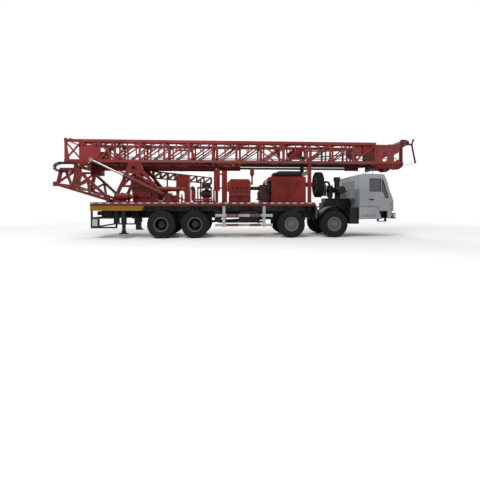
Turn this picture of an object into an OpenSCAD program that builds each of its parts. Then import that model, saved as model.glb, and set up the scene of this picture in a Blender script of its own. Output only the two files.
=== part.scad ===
// Workover rig on an 8x4 truck, with its telescoping mast lying over the cab.
// Sizes are millimetres. X runs forward, Y to the vehicle's left and Z up.
// Places along X are measured from the last axle, and at_origin() then sets
// the middle of the whole length at X = 0.

/* [Overall] */
// Centre of the leg sockets at the tail
socket_x = -4335; // [-4500:5:-4300]
// Outer radius of a leg socket
socket_r = 85; // [80:1:95]
// Bore radius of a leg socket
socket_bore_r = 40; // [30:1:50]
// Centre of the ball on the crown's fork, the foremost point
fork_ball_x = 11330; // [11200:10:11500]
// Radius of the balls on the crown's fork
fork_ball_r = 50; // [40:1:60]

/* [Wheels] */
// Place of each axle, first to last
axle_x = [7100, 5300, 1350, 0];
// Radius of a tyre
tyre_r = 560; // [550:1:563]
// Width of a tyre
tyre_w = 300; // [280:1:304]
// Radius of the seat between tyre and rim
bead_r = 254; // [250:1:258]
// Radius of a rim's flange
flange_r = 282; // [278:1:290]
// Middle of a front tyre from the centre plane
front_y = 1080; // [1070:1:1090]
// Middle of an outer rear tyre from the centre plane
rear_outer_y = 1095; // [1090:1:1100]
// Spacing of twin tyres
twin_pitch = 350; // [340:1:355]
// Kingpin from the centre plane
kingpin_y = 900; // [896:1:904]
// Radius of a kingpin
kingpin_r = 30; // [26:1:34]
// Radius of a front spindle
spindle_r = 45; // [40:1:50]
// Radius of a rear spindle
rear_spindle_r = 55; // [50:1:60]

/* [Chassis] */
// Rear end of the rails
rail_x0 = -2650; // [-2700:10:-2600]
// Front end of the rails
rail_x1 = 9300; // [9280:10:9320]
// Outer face of a rail from the centre plane
rail_y = 430; // [420:1:435]
// Width of a rail's flange
rail_w = 90; // [80:1:95]
// Lower face of the rails
rail_z0 = 800; // [780:5:820]
// Upper face of the rails
rail_z1 = 1100; // [1090:1:1105]
// Plate of a rail
rail_t = 12; // [10:1:16]

/* [Deck] */
// Rear end of the deck
deck_x0 = -2760; // [-2800:10:-2740]
// Front end of the deck
deck_x1 = 6270; // [6260:5:6290]
// Half width of the deck, its boxes and side guards
half_w = 1250; // [1245:1:1260]
// Top of the deck
deck_z = 1460; // [1455:1:1470]
// Height of the deck's edge
edge_h = 150; // [140:5:160]
// Plate of the deck and its edge
deck_t = 12; // [8:1:16]
// Bottom of the side boxes
box_z0 = 1120; // [1110:5:1130]

/* [Mast] */
// Axis of the mast's hinge
pivot_x = -3470; // [-3490:5:-3450]
// Height of the mast's hinge
pivot_z = 2930; // [2920:5:2940]
// Radius of the hinge tube
pivot_r = 70; // [60:1:75]
// Rear end of the lower section
mast_x0 = -4070; // [-4090:5:-4060]
// Front end of the lower section
mast_x1 = 9150; // [9120:5:9180]
// Bays in the lower section
mast_bays = 13; // [12:1:14]
// Half width of the lower section
mast_y = 660; // [655:1:662]
// Width of a main chord
chord_w = 110; // [100:1:112]
// Height of a main chord
chord_h = 115; // [100:1:118]
// Bottom of the lower section
mast_z0 = 3130; // [3128:1:3140]
// Top of the lower section
mast_z1 = 4080; // [4070:1:4090]
// Width of posts in the lower section
post_w = 85; // [70:1:95]
// Width of diagonals in the lower section
brace_w = 55; // [45:1:65]
// Width of a thin post in the middle of a bay
thin_post = 45; // [30:1:60]
// Thickness of the webs between the chords
web_t = 60; // [50:1:70]
// Rear end of the upper section
upper_x0 = -3350; // [-3370:5:-3330]
// Front end of the upper section
upper_x1 = 10310; // [10300:5:10320]
// Equal bays in the upper section, back from its front end
upper_bays = 12; // [11:1:12]
// Length of one bay in the upper section
upper_step = 1015; // [1010:1:1020]
// Gap between the two sections
slide_gap = 14; // [8:1:15]
// Side of an upper chord
upper_chord = 80; // [70:1:85]
// Outer radius of the extension cylinder
ext_r = 140; // [130:1:145]
// Height of the extension cylinder's axis
ext_z = 2982; // [2978:1:2984]
// Radius of the extension rod
ext_rod_r = 45; // [40:1:55]
// Front end of the extension cylinder
ext_x1 = 3220; // [3180:10:3260]
// Bore radius of the extension cylinder
ext_bore_r = 85; // [75:1:90]

/* [Lifting cylinders] */
// Foot of a lifting cylinder
lift_x = 190; // [170:5:210]
// Height of a lifting cylinder's foot
lift_z = 1700; // [1690:5:1720]
// Eye of a lifting rod
eye_x = -2890; // [-2900:5:-2880]
// Height of a lifting rod's eye
eye_z = 3200; // [3190:5:3210]
// Middle of a lifting cylinder from the centre plane
lift_y = 840; // [835:1:850]
// Outer radius of a lifting cylinder
lift_r = 85; // [75:1:90]
// Radius of a lifting rod
lift_rod_r = 45; // [40:1:50]
// Length of a lifting cylinder's barrel
lift_len = 1985; // [1900:5:2050]
// Radius of the pin at a lifting cylinder's foot
lift_pin_r = 50; // [40:1:60]

/* [Cab] */
// Back of the cab
cab_x0 = 8170; // [8160:5:8180]
// Half width of the cab
cab_y = 1200; // [1190:5:1210]
// Underside of the cab
cab_z0 = 1100; // [1100:1:1110]
// Wall of the cab
cab_t = 50; // [40:1:60]
// Gap round a door
door_gap = 6; // [5:1:10]

/* [Hidden] */
$fn = 64;

// Clearances: at a running pin, at a seat and beside a moving piece
run_gap = 0.05;
seat_gap = 0.3;
side_gap = 8;
hinge_h = 60;

// How far a hinge's pin stands off the face of its leaf
function hinge_off(pin_r) = 2 * pin_r + 4;

tail_x = socket_x - socket_r;
nose_x = fork_ball_x + fork_ball_r;
mid_x = (tail_x + nose_x) / 2;
hub_z = tyre_r;
edge_z = deck_z - edge_h;
rear_inner_y = rear_outer_y - twin_pitch;
sides = [-1, 1];

upper_y = mast_y - chord_w - slide_gap;
upper_z0 = mast_z0 + 50 + slide_gap;
upper_z1 = mast_z1 - 50 - slide_gap;
lift_angle = atan2(eye_z - lift_z, eye_x - lift_x);
lift_reach = norm([eye_x - lift_x, eye_z - lift_z]);
boss_w = 96;

// General helpers

module at_origin() translate([-mid_x, 0, 0]) children();

module both_sides() {
    children();
    mirror([0, 1, 0]) children();
}

// Pieces are drawn on the right, and side is -1 for right and 1 for left
module on_side(side) {
    if (side < 0) children();
    else mirror([0, 1, 0]) children();
}

// A block between two values on each axis
module block(x, y, z)
    translate([x[0], y[0], z[0]]) cube([x[1] - x[0], y[1] - y[0], z[1] - z[0]]);

// An outline drawn in X and Z, given thickness from y0 to y1
module plate_xz(y0, y1)
    translate([0, y1, 0]) rotate([90, 0, 0]) linear_extrude(y1 - y0) children();

// An outline drawn in Y and Z, run from x0 to x1
module run_x(x0, x1)
    translate([x0, 0, 0]) rotate([90, 0, 90]) linear_extrude(x1 - x0) children();

module rod_x(y, z, r, x0, x1)
    translate([x0, y, z]) rotate([0, 90, 0]) cylinder(r = r, h = x1 - x0);

module rod_y(x, z, r, y0, y1)
    translate([x, y1, z]) rotate([90, 0, 0]) cylinder(r = r, h = y1 - y0);

module rod_z(x, y, r, z0, z1)
    translate([x, y, z0]) cylinder(r = r, h = z1 - z0);

// The fixed half of a hinge: two lugs and the pin between them, off a wall whose outer
// face is at y. The leaf lies ahead of the pin where dir is 1, and behind it where dir is -1
module hinge_lugs(x, y, z, dir, pin_r) {
    axis_y = y - hinge_off(pin_r);
    near = x - dir * 4;
    far = x - dir * 5 * pin_r;
    rod_z(x, axis_y, pin_r, z - 2 * pin_r, z + hinge_h + 2 * pin_r);
    for (low = [z - 2 * pin_r, z + hinge_h]) {
        rod_z(x, axis_y, 2 * pin_r - 1, low, low + 2 * pin_r);
        block([min(near, far), max(near, far)], [axis_y - pin_r, y], [low, low + 2 * pin_r]);
    }
}

// The moving half: a barrel round the pin with an arm onto the leaf's face
module hinge_barrel(x, y, z, dir, pin_r) {
    axis_y = y - hinge_off(pin_r);
    near = x + dir * 4;
    far = x + dir * 8 * pin_r;
    difference() {
        union() {
            rod_z(x, axis_y, 2 * pin_r, z + seat_gap, z + hinge_h - seat_gap);
            block([min(near, far), max(near, far)], [axis_y - pin_r, y],
                  [z + seat_gap, z + hinge_h - seat_gap]);
        }
        rod_z(x, axis_y, pin_r + run_gap, z, z + hinge_h);
    }
}

// A round link between two points [x, z] at one y
module link(p, q, r, y)
    translate([p[0], y, p[1]])
        rotate([0, 90 - atan2(q[1] - p[1], q[0] - p[0]), 0])
            cylinder(r = r, h = norm(q - p));

// A flat bar between two points of an outline
module bar(p, q, w) {
    side = [p[1] - q[1], q[0] - p[0]] * w / 2 / norm(q - p);
    polygon([p + side, p - side, q - side, q + side]);
}

// The holes of one lattice bay: kind is "rise", "fall", "cross", "open" or "split", which
// is a rising diagonal with a thin post from its middle up to the chord
module bay_holes(x0, x1, z0, z1, w, kind) {
    phi = atan2(z1 - z0, x1 - x0);
    hx = w / 2 / sin(phi);
    hz = w / 2 / cos(phi);
    xm = (x0 + x1) / 2;
    zm = (z0 + z1) / 2;
    if (kind == "rise" || kind == "split") polygon([[x0 + hx, z0], [x1, z0], [x1, z1 - hz]]);
    if (kind == "rise") polygon([[x0, z0 + hz], [x1 - hx, z1], [x0, z1]]);
    if (kind == "split") {
        climb = (z1 - z0 - hz) / (x1 - hx - x0);
        za = z0 + hz + climb * (xm - thin_post / 2 - x0);
        zb = z0 + hz + climb * (xm + thin_post / 2 - x0);
        polygon([[x0, z0 + hz], [xm - thin_post / 2, za], [xm - thin_post / 2, z1], [x0, z1]]);
        polygon([[xm + thin_post / 2, zb], [x1 - hx, z1], [xm + thin_post / 2, z1]]);
    }
    if (kind == "fall") {
        polygon([[x0, z0], [x1 - hx, z0], [x0, z1 - hz]]);
        polygon([[x1, z0 + hz], [x1, z1], [x0 + hx, z1]]);
    }
    if (kind == "cross") {
        polygon([[x0 + hx, z0], [x1 - hx, z0], [xm, zm - hz]]);
        polygon([[x0 + hx, z1], [xm, zm + hz], [x1 - hx, z1]]);
        polygon([[x0, z0 + hz], [xm - hx, zm], [x0, z1 - hz]]);
        polygon([[x1, z0 + hz], [x1, z1 - hz], [xm + hx, zm]]);
    }
    if (kind == "open") polygon([[x0, z0], [x1, z0], [x1, z1], [x0, z1]]);
}

// A lattice of equal bays between x0 and x1. kinds gives each bay's bracing
module lattice(x0, x1, z0, z1, bays, post, w, kinds) {
    step = (x1 - x0) / bays;
    difference() {
        translate([x0, z0]) square([x1 - x0, z1 - z0]);
        for (i = [0 : bays - 1])
            if (kinds[i] != "solid")
                bay_holes(x0 + i * step + post / 2, x0 + (i + 1) * step - post / 2,
                          z0, z1, w, kinds[i]);
    }
}

// Chassis

module rail_section() difference() {
    translate([-rail_y, rail_z0]) square([rail_w, rail_z1 - rail_z0]);
    translate([-rail_y + rail_t, rail_z0 + rail_t])
        square([rail_w, rail_z1 - rail_z0 - 2 * rail_t]);
}

spring_half = 700;
hanger_x = [for (i = [0, 1]) for (s = sides) axle_x[i] + s * spring_half];
cross_x = [-2600, -1500, 675, 2300, 3900, 4900, 6200, 8260, 9240];
tow_x = rail_x0 - 140;
tow_r = 25;
hanger_z = 700;

module chassis_frame() at_origin() color("#26272a") {
    both_sides() {
        run_x(rail_x0, rail_x1) rail_section();
        for (x = hanger_x)
            block([x - 45, x + 45], [-rail_y - 120, -rail_y - seat_gap], [hanger_z, 860]);
    }
    cross_half = rail_y - rail_t - seat_gap;
    for (x = cross_x) block([x - 40, x + 40], [-cross_half, cross_half], [925, 1065]);
    difference() {
        block([tow_x - 50, cross_x[0]], [-20, 20], [925, 1065]);
        rod_y(tow_x, 995, tow_r, -21, 21);
    }
}

module deck() at_origin() color("#8e2a26") {
    block([deck_x0, deck_x1], [-half_w, half_w], [deck_z - deck_t, deck_z]);
    for (x = [deck_x0, deck_x1 - deck_t])
        block([x, x + deck_t], [-half_w, half_w], [edge_z, deck_z]);
    both_sides() {
        block([deck_x0, deck_x1], [-half_w, -half_w + deck_t], [edge_z, deck_z]);
        block([deck_x0, deck_x1], [-half_w, -half_w + 60], [edge_z, edge_z + deck_t]);
        block([rail_x0, deck_x1 - 70], [-rail_y, -rail_y + rail_w], [rail_z1, deck_z]);
        lift_lug();
    }
    for (i = [0 : 8])
        block([-2310 + i * 1000, -2250 + i * 1000], [-half_w, half_w], [edge_z, deck_z]);
}

// The clevis that holds a lifting cylinder's foot
module lift_lug() {
    for (y = [lift_y - 90, lift_y + 60])
        plate_xz(-y - 30, -y)
            polygon([[lift_x - 160, deck_z], [lift_x + 170, deck_z],
                     [lift_x + 110, lift_z + 70], [lift_x - 60, lift_z + 100],
                     [lift_x - 120, lift_z + 40]]);
    rod_y(lift_x, lift_z, lift_pin_r, -lift_y - 110, -lift_y + 110);
}

module side_boxes() at_origin() color("#b8930f") {
    both_sides()
        plate_xz(-half_w, -half_w + 250)
            polygon([[deck_x0, box_z0], [-770, box_z0], [-660, edge_z], [deck_x0, edge_z]]);
    block([deck_x0, deck_x0 + 40], [-half_w + 250, half_w - 250], [box_z0, edge_z]);
}

module rear_bumper() at_origin() color("#222326") {
    tube = 60;
    side_y = half_w - 40;
    cross_half = side_y - tube - seat_gap;
    both_sides() {
        for (x = [-2750, -1790])
            block([x, x + tube], [-side_y, -side_y + tube], [420, box_z0]);
        for (z = [420, 800])
            block([-2750, -1730], [-side_y, -side_y + tube], [z, z + tube]);
        block([-2700, -2480], [-side_y + 5, -side_y + 190], [490, 790]);
    }
    for (z = [420, 800])
        block([-2750, -2750 + tube], [-cross_half, cross_half], [z, z + tube]);
}

outrigger_x = -1505;
outrigger_y = 1080;
leg_r = 70;

module outriggers() at_origin() color("#26272a") both_sides() difference() {
    union() {
        rod_z(outrigger_x, -outrigger_y, 105, 560, box_z0);
        block([outrigger_x - 80, outrigger_x + 80], [-outrigger_y + 60, -rail_y], [850, 1050]);
        rod_z(outrigger_x, -outrigger_y, 125, 560, 600);
    }
    rod_z(outrigger_x, -outrigger_y, leg_r + run_gap, 500, 1070);
}

module outrigger_leg(side) at_origin() color("#3a3b3e") on_side(side) {
    rod_z(outrigger_x, -outrigger_y, leg_r, 200, 1050);
    rod_z(outrigger_x, -outrigger_y, 95, 215, 300);
    for (s = sides) rod_z(outrigger_x + s * 85, -outrigger_y, 105, 180, 215);
}

module side_guards() at_origin() color("#e8e6e2") both_sides() {
    for (x = [2460, 4100]) block([x, x + 120], [-half_w + 20, -half_w + 60], [460, edge_z]);
    for (z = [480, 870]) block([2170, 4510], [-half_w, -half_w + 20], [z, z + 110]);
}

module tanks() at_origin() color("#1d1e20") both_sides() {
    difference() {
        block([3190, 3960], [-1050, -rail_y], [620, 1090]);
        for (z = [620, 1090]) translate([3575, -1050, z]) rotate([45, 0, 0])
            cube([800, 90, 90], center = true);
    }
    rod_y(2260, 1040, 125, -1150, -rail_y);
    rod_y(2260, 770, 125, -1150, -rail_y - 60);
    block([2245, 2275], [-rail_y - 90, -rail_y - 60], [880, 930]);
    block([7765, 8165], [-1150, -rail_y - 140], [560, 1250]);
    block([7900, 8100], [-rail_y - 140, -rail_y], [900, 1000]);
}

// Axles, springs and shafts

beam_z = [490, 630];

module axles() at_origin() color("#2b2c2f") {
    for (i = [2, 3]) rear_axle(axle_x[i]);
    bogie();
    for (i = [0, 1]) front_axle(axle_x[i]);
    link([axle_x[2] + 150, hub_z + 40], [6300, 850], 55, 0);
    rod_x(0, 850, 75, 6270, 6320 - seat_gap);
    link([axle_x[3] + 150, hub_z + 40], [axle_x[2] - 150, hub_z + 40], 50, 0);
}

module rear_axle(x) {
    rod_y(x, hub_z, 85, -600, 600);
    rod_y(x, hub_z, rear_spindle_r, -1150, 1150);
    rod_x(0, hub_z, 205, x - 140, x + 140);
    both_sides() rod_x(-360, hub_z, 78, x + 50, x + 250);
}

module bogie() {
    mid = (axle_x[2] + axle_x[3]) / 2;
    rod_y(mid, 590, 60, -555, 555);
    both_sides() {
        block([mid - 90, mid + 90], [-rail_y + 10, -rail_y + 80], [530, rail_z0]);
        plate_xz(-555, -455)
            polygon([[axle_x[3] - 60, 650], [axle_x[2] + 60, 650], [axle_x[2] + 60, 685],
                     [mid + 200, 780], [mid - 200, 780], [axle_x[3] - 60, 685]]);
        for (i = [2, 3]) block([axle_x[i] - 45, axle_x[i] + 45], [-555, -455], [600, 655]);
    }
}

module front_axle(x) difference() {
    union() {
        plate_and_flanges(x);
        both_sides() {
            rod_z(x, -kingpin_y, 60, beam_z[0] + 10, beam_z[1] - 10);
            plate_xz(-540, -450)
                polygon([[x - spring_half, hanger_z - 30], [x, beam_z[1]],
                         [x + spring_half, hanger_z - 30], [x + spring_half, hanger_z],
                         [x + spring_half - 60, hanger_z], [x, hanger_z + 30],
                         [x - spring_half + 60, hanger_z], [x - spring_half, hanger_z]]);
        }
    }
    both_sides() rod_z(x, -kingpin_y, kingpin_r + run_gap, beam_z[0], beam_z[1]);
}

// The I beam between two kingpins
module plate_and_flanges(x) {
    block([x - 15, x + 15], [-kingpin_y + 45, kingpin_y - 45], [beam_z[0] + 10, beam_z[1] - 10]);
    for (z = [beam_z[0], beam_z[1] - 25])
        block([x - 50, x + 50], [-kingpin_y + 90, kingpin_y - 90], [z, z + 25]);
}

fork_z = [beam_z[0] - 8, beam_z[1] + 8];

module knuckle(i, side) at_origin() color("#303134") on_side(side) {
    x = axle_x[i];
    rod_z(x, -kingpin_y, kingpin_r, fork_z[0] - 40, fork_z[1] + 40);
    block([x - 55, x + 55], [-kingpin_y - 110, -kingpin_y - 70], [fork_z[0] - 40, fork_z[1] + 40]);
    for (z = [fork_z[0] - 40, fork_z[1]])
        block([x - 50, x + 50], [-kingpin_y - 75, -kingpin_y + 40], [z, z + 40]);
    rod_y(x, hub_z, spindle_r, -front_y - 70, -kingpin_y - 100);
}

module mudguards() at_origin() color("#1d1e20") both_sides() {
    x = axle_x[0];
    z = hub_z + 100;
    plate_xz(-half_w + 10, -650) intersection() {
        difference() {
            translate([x, z]) circle(r = 640, $fn = 180);
            translate([x, z]) circle(r = 625, $fn = 180);
        }
        translate([x - 700, z + 190]) square([1400, 600]);
    }
    block([x - 20, x + 20], [-half_w + 50, -rail_y + 40], [z + 585, z + 630]);
    block([x - 20, x + 20], [-rail_y, -rail_y + 40], [rail_z1, z + 585]);
    block([-990, -970], [-half_w + 10, -620], [370, box_z0]);
}

// Wheels

// Half of a tyre's section: axial place and radius
tyre_section = [[0, 1], [0.79, 1], [0.92, 0.975], [1, 0.8], [1, 0.68], [0.74, 0.52]];

module tyre(y) {
    half = tyre_w / 2;
    outer = [for (p = tyre_section) [p[1] * tyre_r, p[0] * half]];
    near = [for (i = [0 : 5]) outer[i]];
    far = [for (i = [5 : -1 : 1]) [outer[i][0], -outer[i][1]]];
    translate([0, y, 0]) rotate([90, 0, 0]) rotate_extrude()
        polygon(concat(near, [[bead_r, 106]], [[bead_r, -106]], far));
}

// The well of a rim with its two flanges
module rim_ring(y) {
    r = bead_r - seat_gap;
    translate([0, y, 0]) rotate([90, 0, 0]) rotate_extrude()
        polygon([[r - 18, -126], [flange_r, -126], [flange_r, -116], [r, -112], [r, 112],
                 [flange_r, 116], [flange_r, 126], [r - 18, 126]]);
}

module hub_bore(r, y0, y1) rod_y(0, 0, r + run_gap, y0, y1);

hand_holes = 10;

module front_wheel(i, side) at_origin() color("#1b1b1c") on_side(side)
    translate([axle_x[i], 0, hub_z]) {
        tyre(-front_y);
        difference() {
            union() {
                rim_ring(-front_y);
                rod_y(0, 0, bead_r - 10, -front_y - 92, -front_y - 76);
                rod_y(0, 0, 125, -front_y - 112, -front_y - 40);
                rod_y(0, 0, 85, -front_y - 150, -front_y - 100);
            }
            hub_bore(spindle_r, -front_y - 75, -front_y);
            for (k = [1 : hand_holes])
                rotate([0, k * 360 / hand_holes, 0])
                    rod_y(190, 0, 24, -front_y - 100, -front_y - 60);
        }
    }

module rear_wheel(i, side) at_origin() color("#1b1b1c") on_side(side)
    translate([axle_x[i], 0, hub_z]) {
        mid = (rear_outer_y + rear_inner_y) / 2;
        tyre(-rear_outer_y);
        tyre(-rear_inner_y);
        difference() {
            union() {
                rim_ring(-rear_outer_y);
                rim_ring(-rear_inner_y);
                translate([0, -mid, 0]) rotate([90, 0, 0]) rotate_extrude()
                    polygon([[100, -14], [160, -14], [238, -twin_pitch / 2 + 80],
                             [238, twin_pitch / 2 - 80], [160, 14], [100, 14]]);
                rod_y(0, 0, 150, -mid - 60, -mid + 100);
                rod_y(0, 0, 115, -rear_outer_y - 60, -mid);
            }
            hub_bore(rear_spindle_r, -1155, -mid + 101);
            for (k = [1 : hand_holes])
                rotate([0, k * 360 / hand_holes, 0])
                    rod_y(198, 0, 22, -mid - 200, -mid + 200);
        }
    }

module spare_wheel() at_origin() color("#1b1b1c")
    translate([6670, -300, 2250]) rotate([0, 0, 90]) {
        tyre(0);
        difference() {
            union() {
                rim_ring(0);
                rod_y(0, 0, bead_r - 10, 70, 85);
                rod_y(0, 0, 60, 60, 150);
            }
            for (k = [1 : hand_holes])
                rotate([0, k * 360 / hand_holes, 0]) rod_y(190, 0, 24, 60, 100);
        }
    }

// Frames at the tail and under the mast

base_y = [740, 860];
// Joints of a tail truss: foot, rear corner, hinge post, heel and deck end
truss_a = [socket_x, 2210];
truss_b = [-4090, 2820];
truss_c = [pivot_x, 2790];
truss_d = [-3640, 2020];
truss_e = [-2235, 1560];
truss_f = [-3040, 2330];
truss_g = [-2960, 1800];

module base_frame() at_origin() color("#97302b") {
    socket_y = (base_y[0] + base_y[1]) / 2;
    both_sides() {
        difference() {
            plate_xz(-base_y[1], -base_y[0]) truss_outline();
            rod_z(socket_x, -socket_y, socket_r + seat_gap, 2100, 2320);
            rod_y(pivot_x, pivot_z, pivot_r + run_gap, -base_y[1] - 1, -base_y[0] + 1);
        }
        difference() {
            rod_z(socket_x, -socket_y, socket_r, 2120, 2300);
            rod_z(socket_x, -socket_y, socket_bore_r, 2119, 2301);
        }
    }
    inner = base_y[0] - seat_gap;
    for (p = [[socket_x + socket_r + 75, 2190], truss_d, truss_g])
        rod_y(p[0], p[1], 45, -inner, inner);
    block([-2300, -2170], [-inner, inner], [deck_z, 1600]);
    rod_y(pivot_x, pivot_z, pivot_r, -base_y[1], base_y[1]);
}

module truss_outline() {
    bar(truss_a + [socket_r - 20, -20], truss_e, 100);
    bar(truss_c, truss_e + [20, 60], 100);
    bar(truss_a + [socket_r + 22, 30], truss_b, 100);
    bar(truss_b - [50, 0], truss_c + [50, 30], 90);
    bar(truss_a + [socket_r, 40], truss_c, 70);
    bar(truss_b + [150, 0], truss_d, 70);
    bar(truss_c + [10, 0], truss_d, 130);
    bar(truss_d, truss_f, 70);
    bar(truss_f, truss_g, 70);
    bar([pivot_x, pivot_z], [pivot_x, 2740], 200);
    translate([pivot_x, pivot_z]) circle(r = 110);
    translate([-2300, deck_z]) square([130, 180]);
    polygon([truss_d + [-190, 60], truss_d + [60, 260], truss_d + [190, -70], truss_d]);
    polygon([truss_c + [-170, -60], truss_c + [170, -60], truss_c + [90, 150], truss_c + [-90, 150]]);
    polygon([truss_e + [-260, 60], truss_e + [-60, 230], truss_e + [60, 190], truss_e + [60, 0]]);
}

head_z = 3110;
pad_z = mast_z0 - seat_gap;
window = [-1330, 2850];
window_size = [160, 120];

module a_frame() at_origin() color("#97302b") {
    both_sides() {
        plate_xz(-680, -560) difference() {
            union() {
                polygon([[-1470, head_z], [-970, head_z], [-790, 2670], [-1620, 2670]]);
                bar([-1530, 2700], [-2070, 1520], 120);
                bar([-880, 2740], [180, 1500], 120);
                bar([-1730, 2140], [-330, 2140], 90);
                bar([-1250, 2680], [-1700, 2160], 70);
                bar([-1150, 2680], [-420, 2160], 70);
                translate([-2150, deck_z]) square([170, 120]);
                translate([110, deck_z]) square([170, 120]);
            }
            translate(window) square(window_size);
        }
        plate_xz(-695, -680) difference() {
            translate(window - [35, 35]) square(window_size + [70, 70]);
            translate(window) square(window_size);
        }
        block([-1430, -1000], [-670, -560], [head_z, pad_z]);
    }
    rod_y(-1250, 2590, 60, -560 + seat_gap, 560 - seat_gap);
}

module front_support() at_origin() color("#8e2a26") {
    both_sides() {
        block([6100, 6240], [-790, -mast_y - side_gap], [deck_z, 3260]);
        block([6100, 6240], [-mast_y - side_gap, -560], [2840, pad_z]);
    }
    block([6100, 6240], [-mast_y - side_gap, mast_y + side_gap], [2700, 2840]);
    block([6100, 6240], [-mast_y - side_gap, mast_y + side_gap], [2160, 2340]);
    block([6240, 6519.7], [-400, -200], [2160, 2340]);
}

// Machines on the deck

drum_x = -800;
drum_z = 2000;
drum_shaft_r = 60;

module drawworks_frame() at_origin() color("#8a2723") {
    both_sides() difference() {
        plate_xz(-530, -500)
            polygon([[-1320, deck_z], [-1340, 1760], [-1430, 2380], [-1180, 2480],
                     [-640, 2420], [-300, 1900], [-270, deck_z]]);
        rod_y(drum_x, drum_z, drum_shaft_r + run_gap, -531, -499);
    }
    for (x = [-1300, -390]) block([x, x + 100], [-500, 500], [deck_z, deck_z + 110]);
    both_sides() {
        block([-1330, -560], [-610, -530], [1690, 1900]);
        for (x = [-1180, -870]) rod_y(x, 1795, 62, -640, -610);
        plate_xz(-545, -530) difference() {
            translate([drum_x, drum_z]) circle(r = 330);
            translate([drum_x, drum_z]) circle(r = 300);
        }
    }
}

module drawworks_drum() at_origin() color("#5e1f1c") {
    rod_y(drum_x, drum_z, drum_shaft_r, -554, 554);
    both_sides() rod_y(drum_x, drum_z, 100, -550, -536);
    rod_y(drum_x, drum_z, 230, -450, 450);
    for (y = [-480, 450]) rod_y(drum_x, drum_z, 380, y, y + 30);
}

module service_winch() at_origin() color("#a8332c") {
    block([-1940, -1130], [-1060, -760], [deck_z, 1500]);
    rod_x(-910, 1690, 110, -1900, -1300);
    for (x = [-1900, -1640, -1380]) rod_x(-910, 1690, 170, x, x + 30);
    rod_x(-910, 1690, 85, -1300, -1140);
    for (x = [-1900, -1380]) block([x, x + 30], [-1040, -780], [1490, 1690]);
}

module drive_case() at_origin() color("#a8332c") {
    rod_x(-440, 2030, 75, -230, 845);
    rod_x(-440, 2010, 120, 790, 850);
    block([840, 1070], [-620, -260], [deck_z, 2080]);
}

tank_y1 = 250;

module hydraulic_tank() at_origin() color("#8a2723") {
    block([420, 980], [-200, tank_y1], [2100, 2660]);
    for (x = [420, 920]) for (y = [-200, tank_y1 - 60])
        block([x, x + 60], [y, y + 60], [deck_z, 2100]);
}

module platform() at_origin() color("#7a2622") {
    y0 = tank_y1 + seat_gap;
    for (y = [y0, y0 + 240])
        plate_xz(y, y + 50) difference() {
            polygon([[-740, 2560], [1940, 2300], [1940, 2600], [-740, 2900]]);
            for (i = [0 : 7]) {
                x = -680 + i * 325;
                fall = -0.1 * (i * 325);
                polygon([[x + 30, 2600 + fall], [x + 275, 2575 + fall], [x + 275, 2790 + fall]]);
                polygon([[x, 2640 + fall], [x + 245, 2815 + fall], [x, 2840 + fall]]);
            }
        }
    for (x = [-700, 0, 1300, 1860])
        block([x, x + 50], [y0 + 50, y0 + 240], [2620 - (x + 740) * 0.1, 2670 - (x + 740) * 0.1]);
    for (x = [-100, 1400]) block([x, x + 60], [y0 + 50, y0 + 110], [deck_z, 2700 - (x + 740) * 0.1]);
}

module pump_unit() at_origin() color("#a8332c") {
    block([1230, 2130], [-900, -250], [deck_z, 1530]);
    for (x = [1400, 1960]) block([x, x + 50], [-850, -780], [1530, 2080]);
    block([1400, 2010], [-850, -350], [2040, 2100]);
    rod_x(-570, 1820, 150, 1580, 1950);
    block([1620, 1900], [-640, -500], [1530, 1700]);
    block([1580, 1940], [-720, -380], [2100, 2290]);
    rod_x(-570, 1820, 95, 1480, 1580);
    rod_y(1200, 2060, 70, -560, -430);
    block([1120, 1290], [-540, -450], [1530, 2010]);
    for (y = [-820, -500]) rod_x(y, 1580, 28, 1260, 2010);
    rod_z(2085, -700, 42, 1530, 2010);
    rod_y(1830, 2070, 45, -870, -850);
}

module column() at_origin() color("#97302b") {
    block([2410, 2640], [-430, -200], [deck_z, 2840]);
    rod_z(2200, -500, 130, 1950, 2800);
    translate([2200, -500, 2800]) sphere(r = 130);
    for (z = [2050, 2650]) block([2200, 2410], [-480, -400], [z, z + 60]);
    block([2140, 2260], [-560, -440], [deck_z, 1960]);
}

stack_x = 3712;
stack_r = 36;

module gearbox() at_origin() color("#97302b") {
    gear_case();
    exhaust_stack();
}

module gear_case() difference() {
    union() {
        plate_xz(-950, -350)
            polygon([[2740, 1740], [3600, 1740], [3630, 1800], [3630, 2330], [3540, 2430],
                     [2800, 2430], [2710, 2330], [2710, 1800]]);
        block([2710, 3630], [-900, -400], [deck_z, 1745]);
        rod_x(-650, 2120, 210, 2650, 2800);
    }
    for (i = [0 : 3]) {
        rod_y(2890 + i * 190, 2050, 40, -951, -900);
        rod_y(2870 + i * 200, 1752, 30, -951, -890);
    }
    rod_y(3180, 1640, 60, -901, -860);
}

// Pipe, cone and silencer of the exhaust beside the gearbox
module exhaust_stack() {
    y = -560;
    rod_x(y, 2255, stack_r, 3600, stack_x);
    rod_z(stack_x, y, stack_r, 2255 - stack_r, 2600);
    translate([stack_x, y, 2560]) cylinder(r1 = stack_r, r2 = stack_r + 55, h = 120);
    rod_z(stack_x, y, stack_r + 55, 2680, 2930);
    translate([stack_x, y, 2930]) cylinder(r1 = stack_r + 55, r2 = stack_r + 20, h = 25);
}

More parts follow.
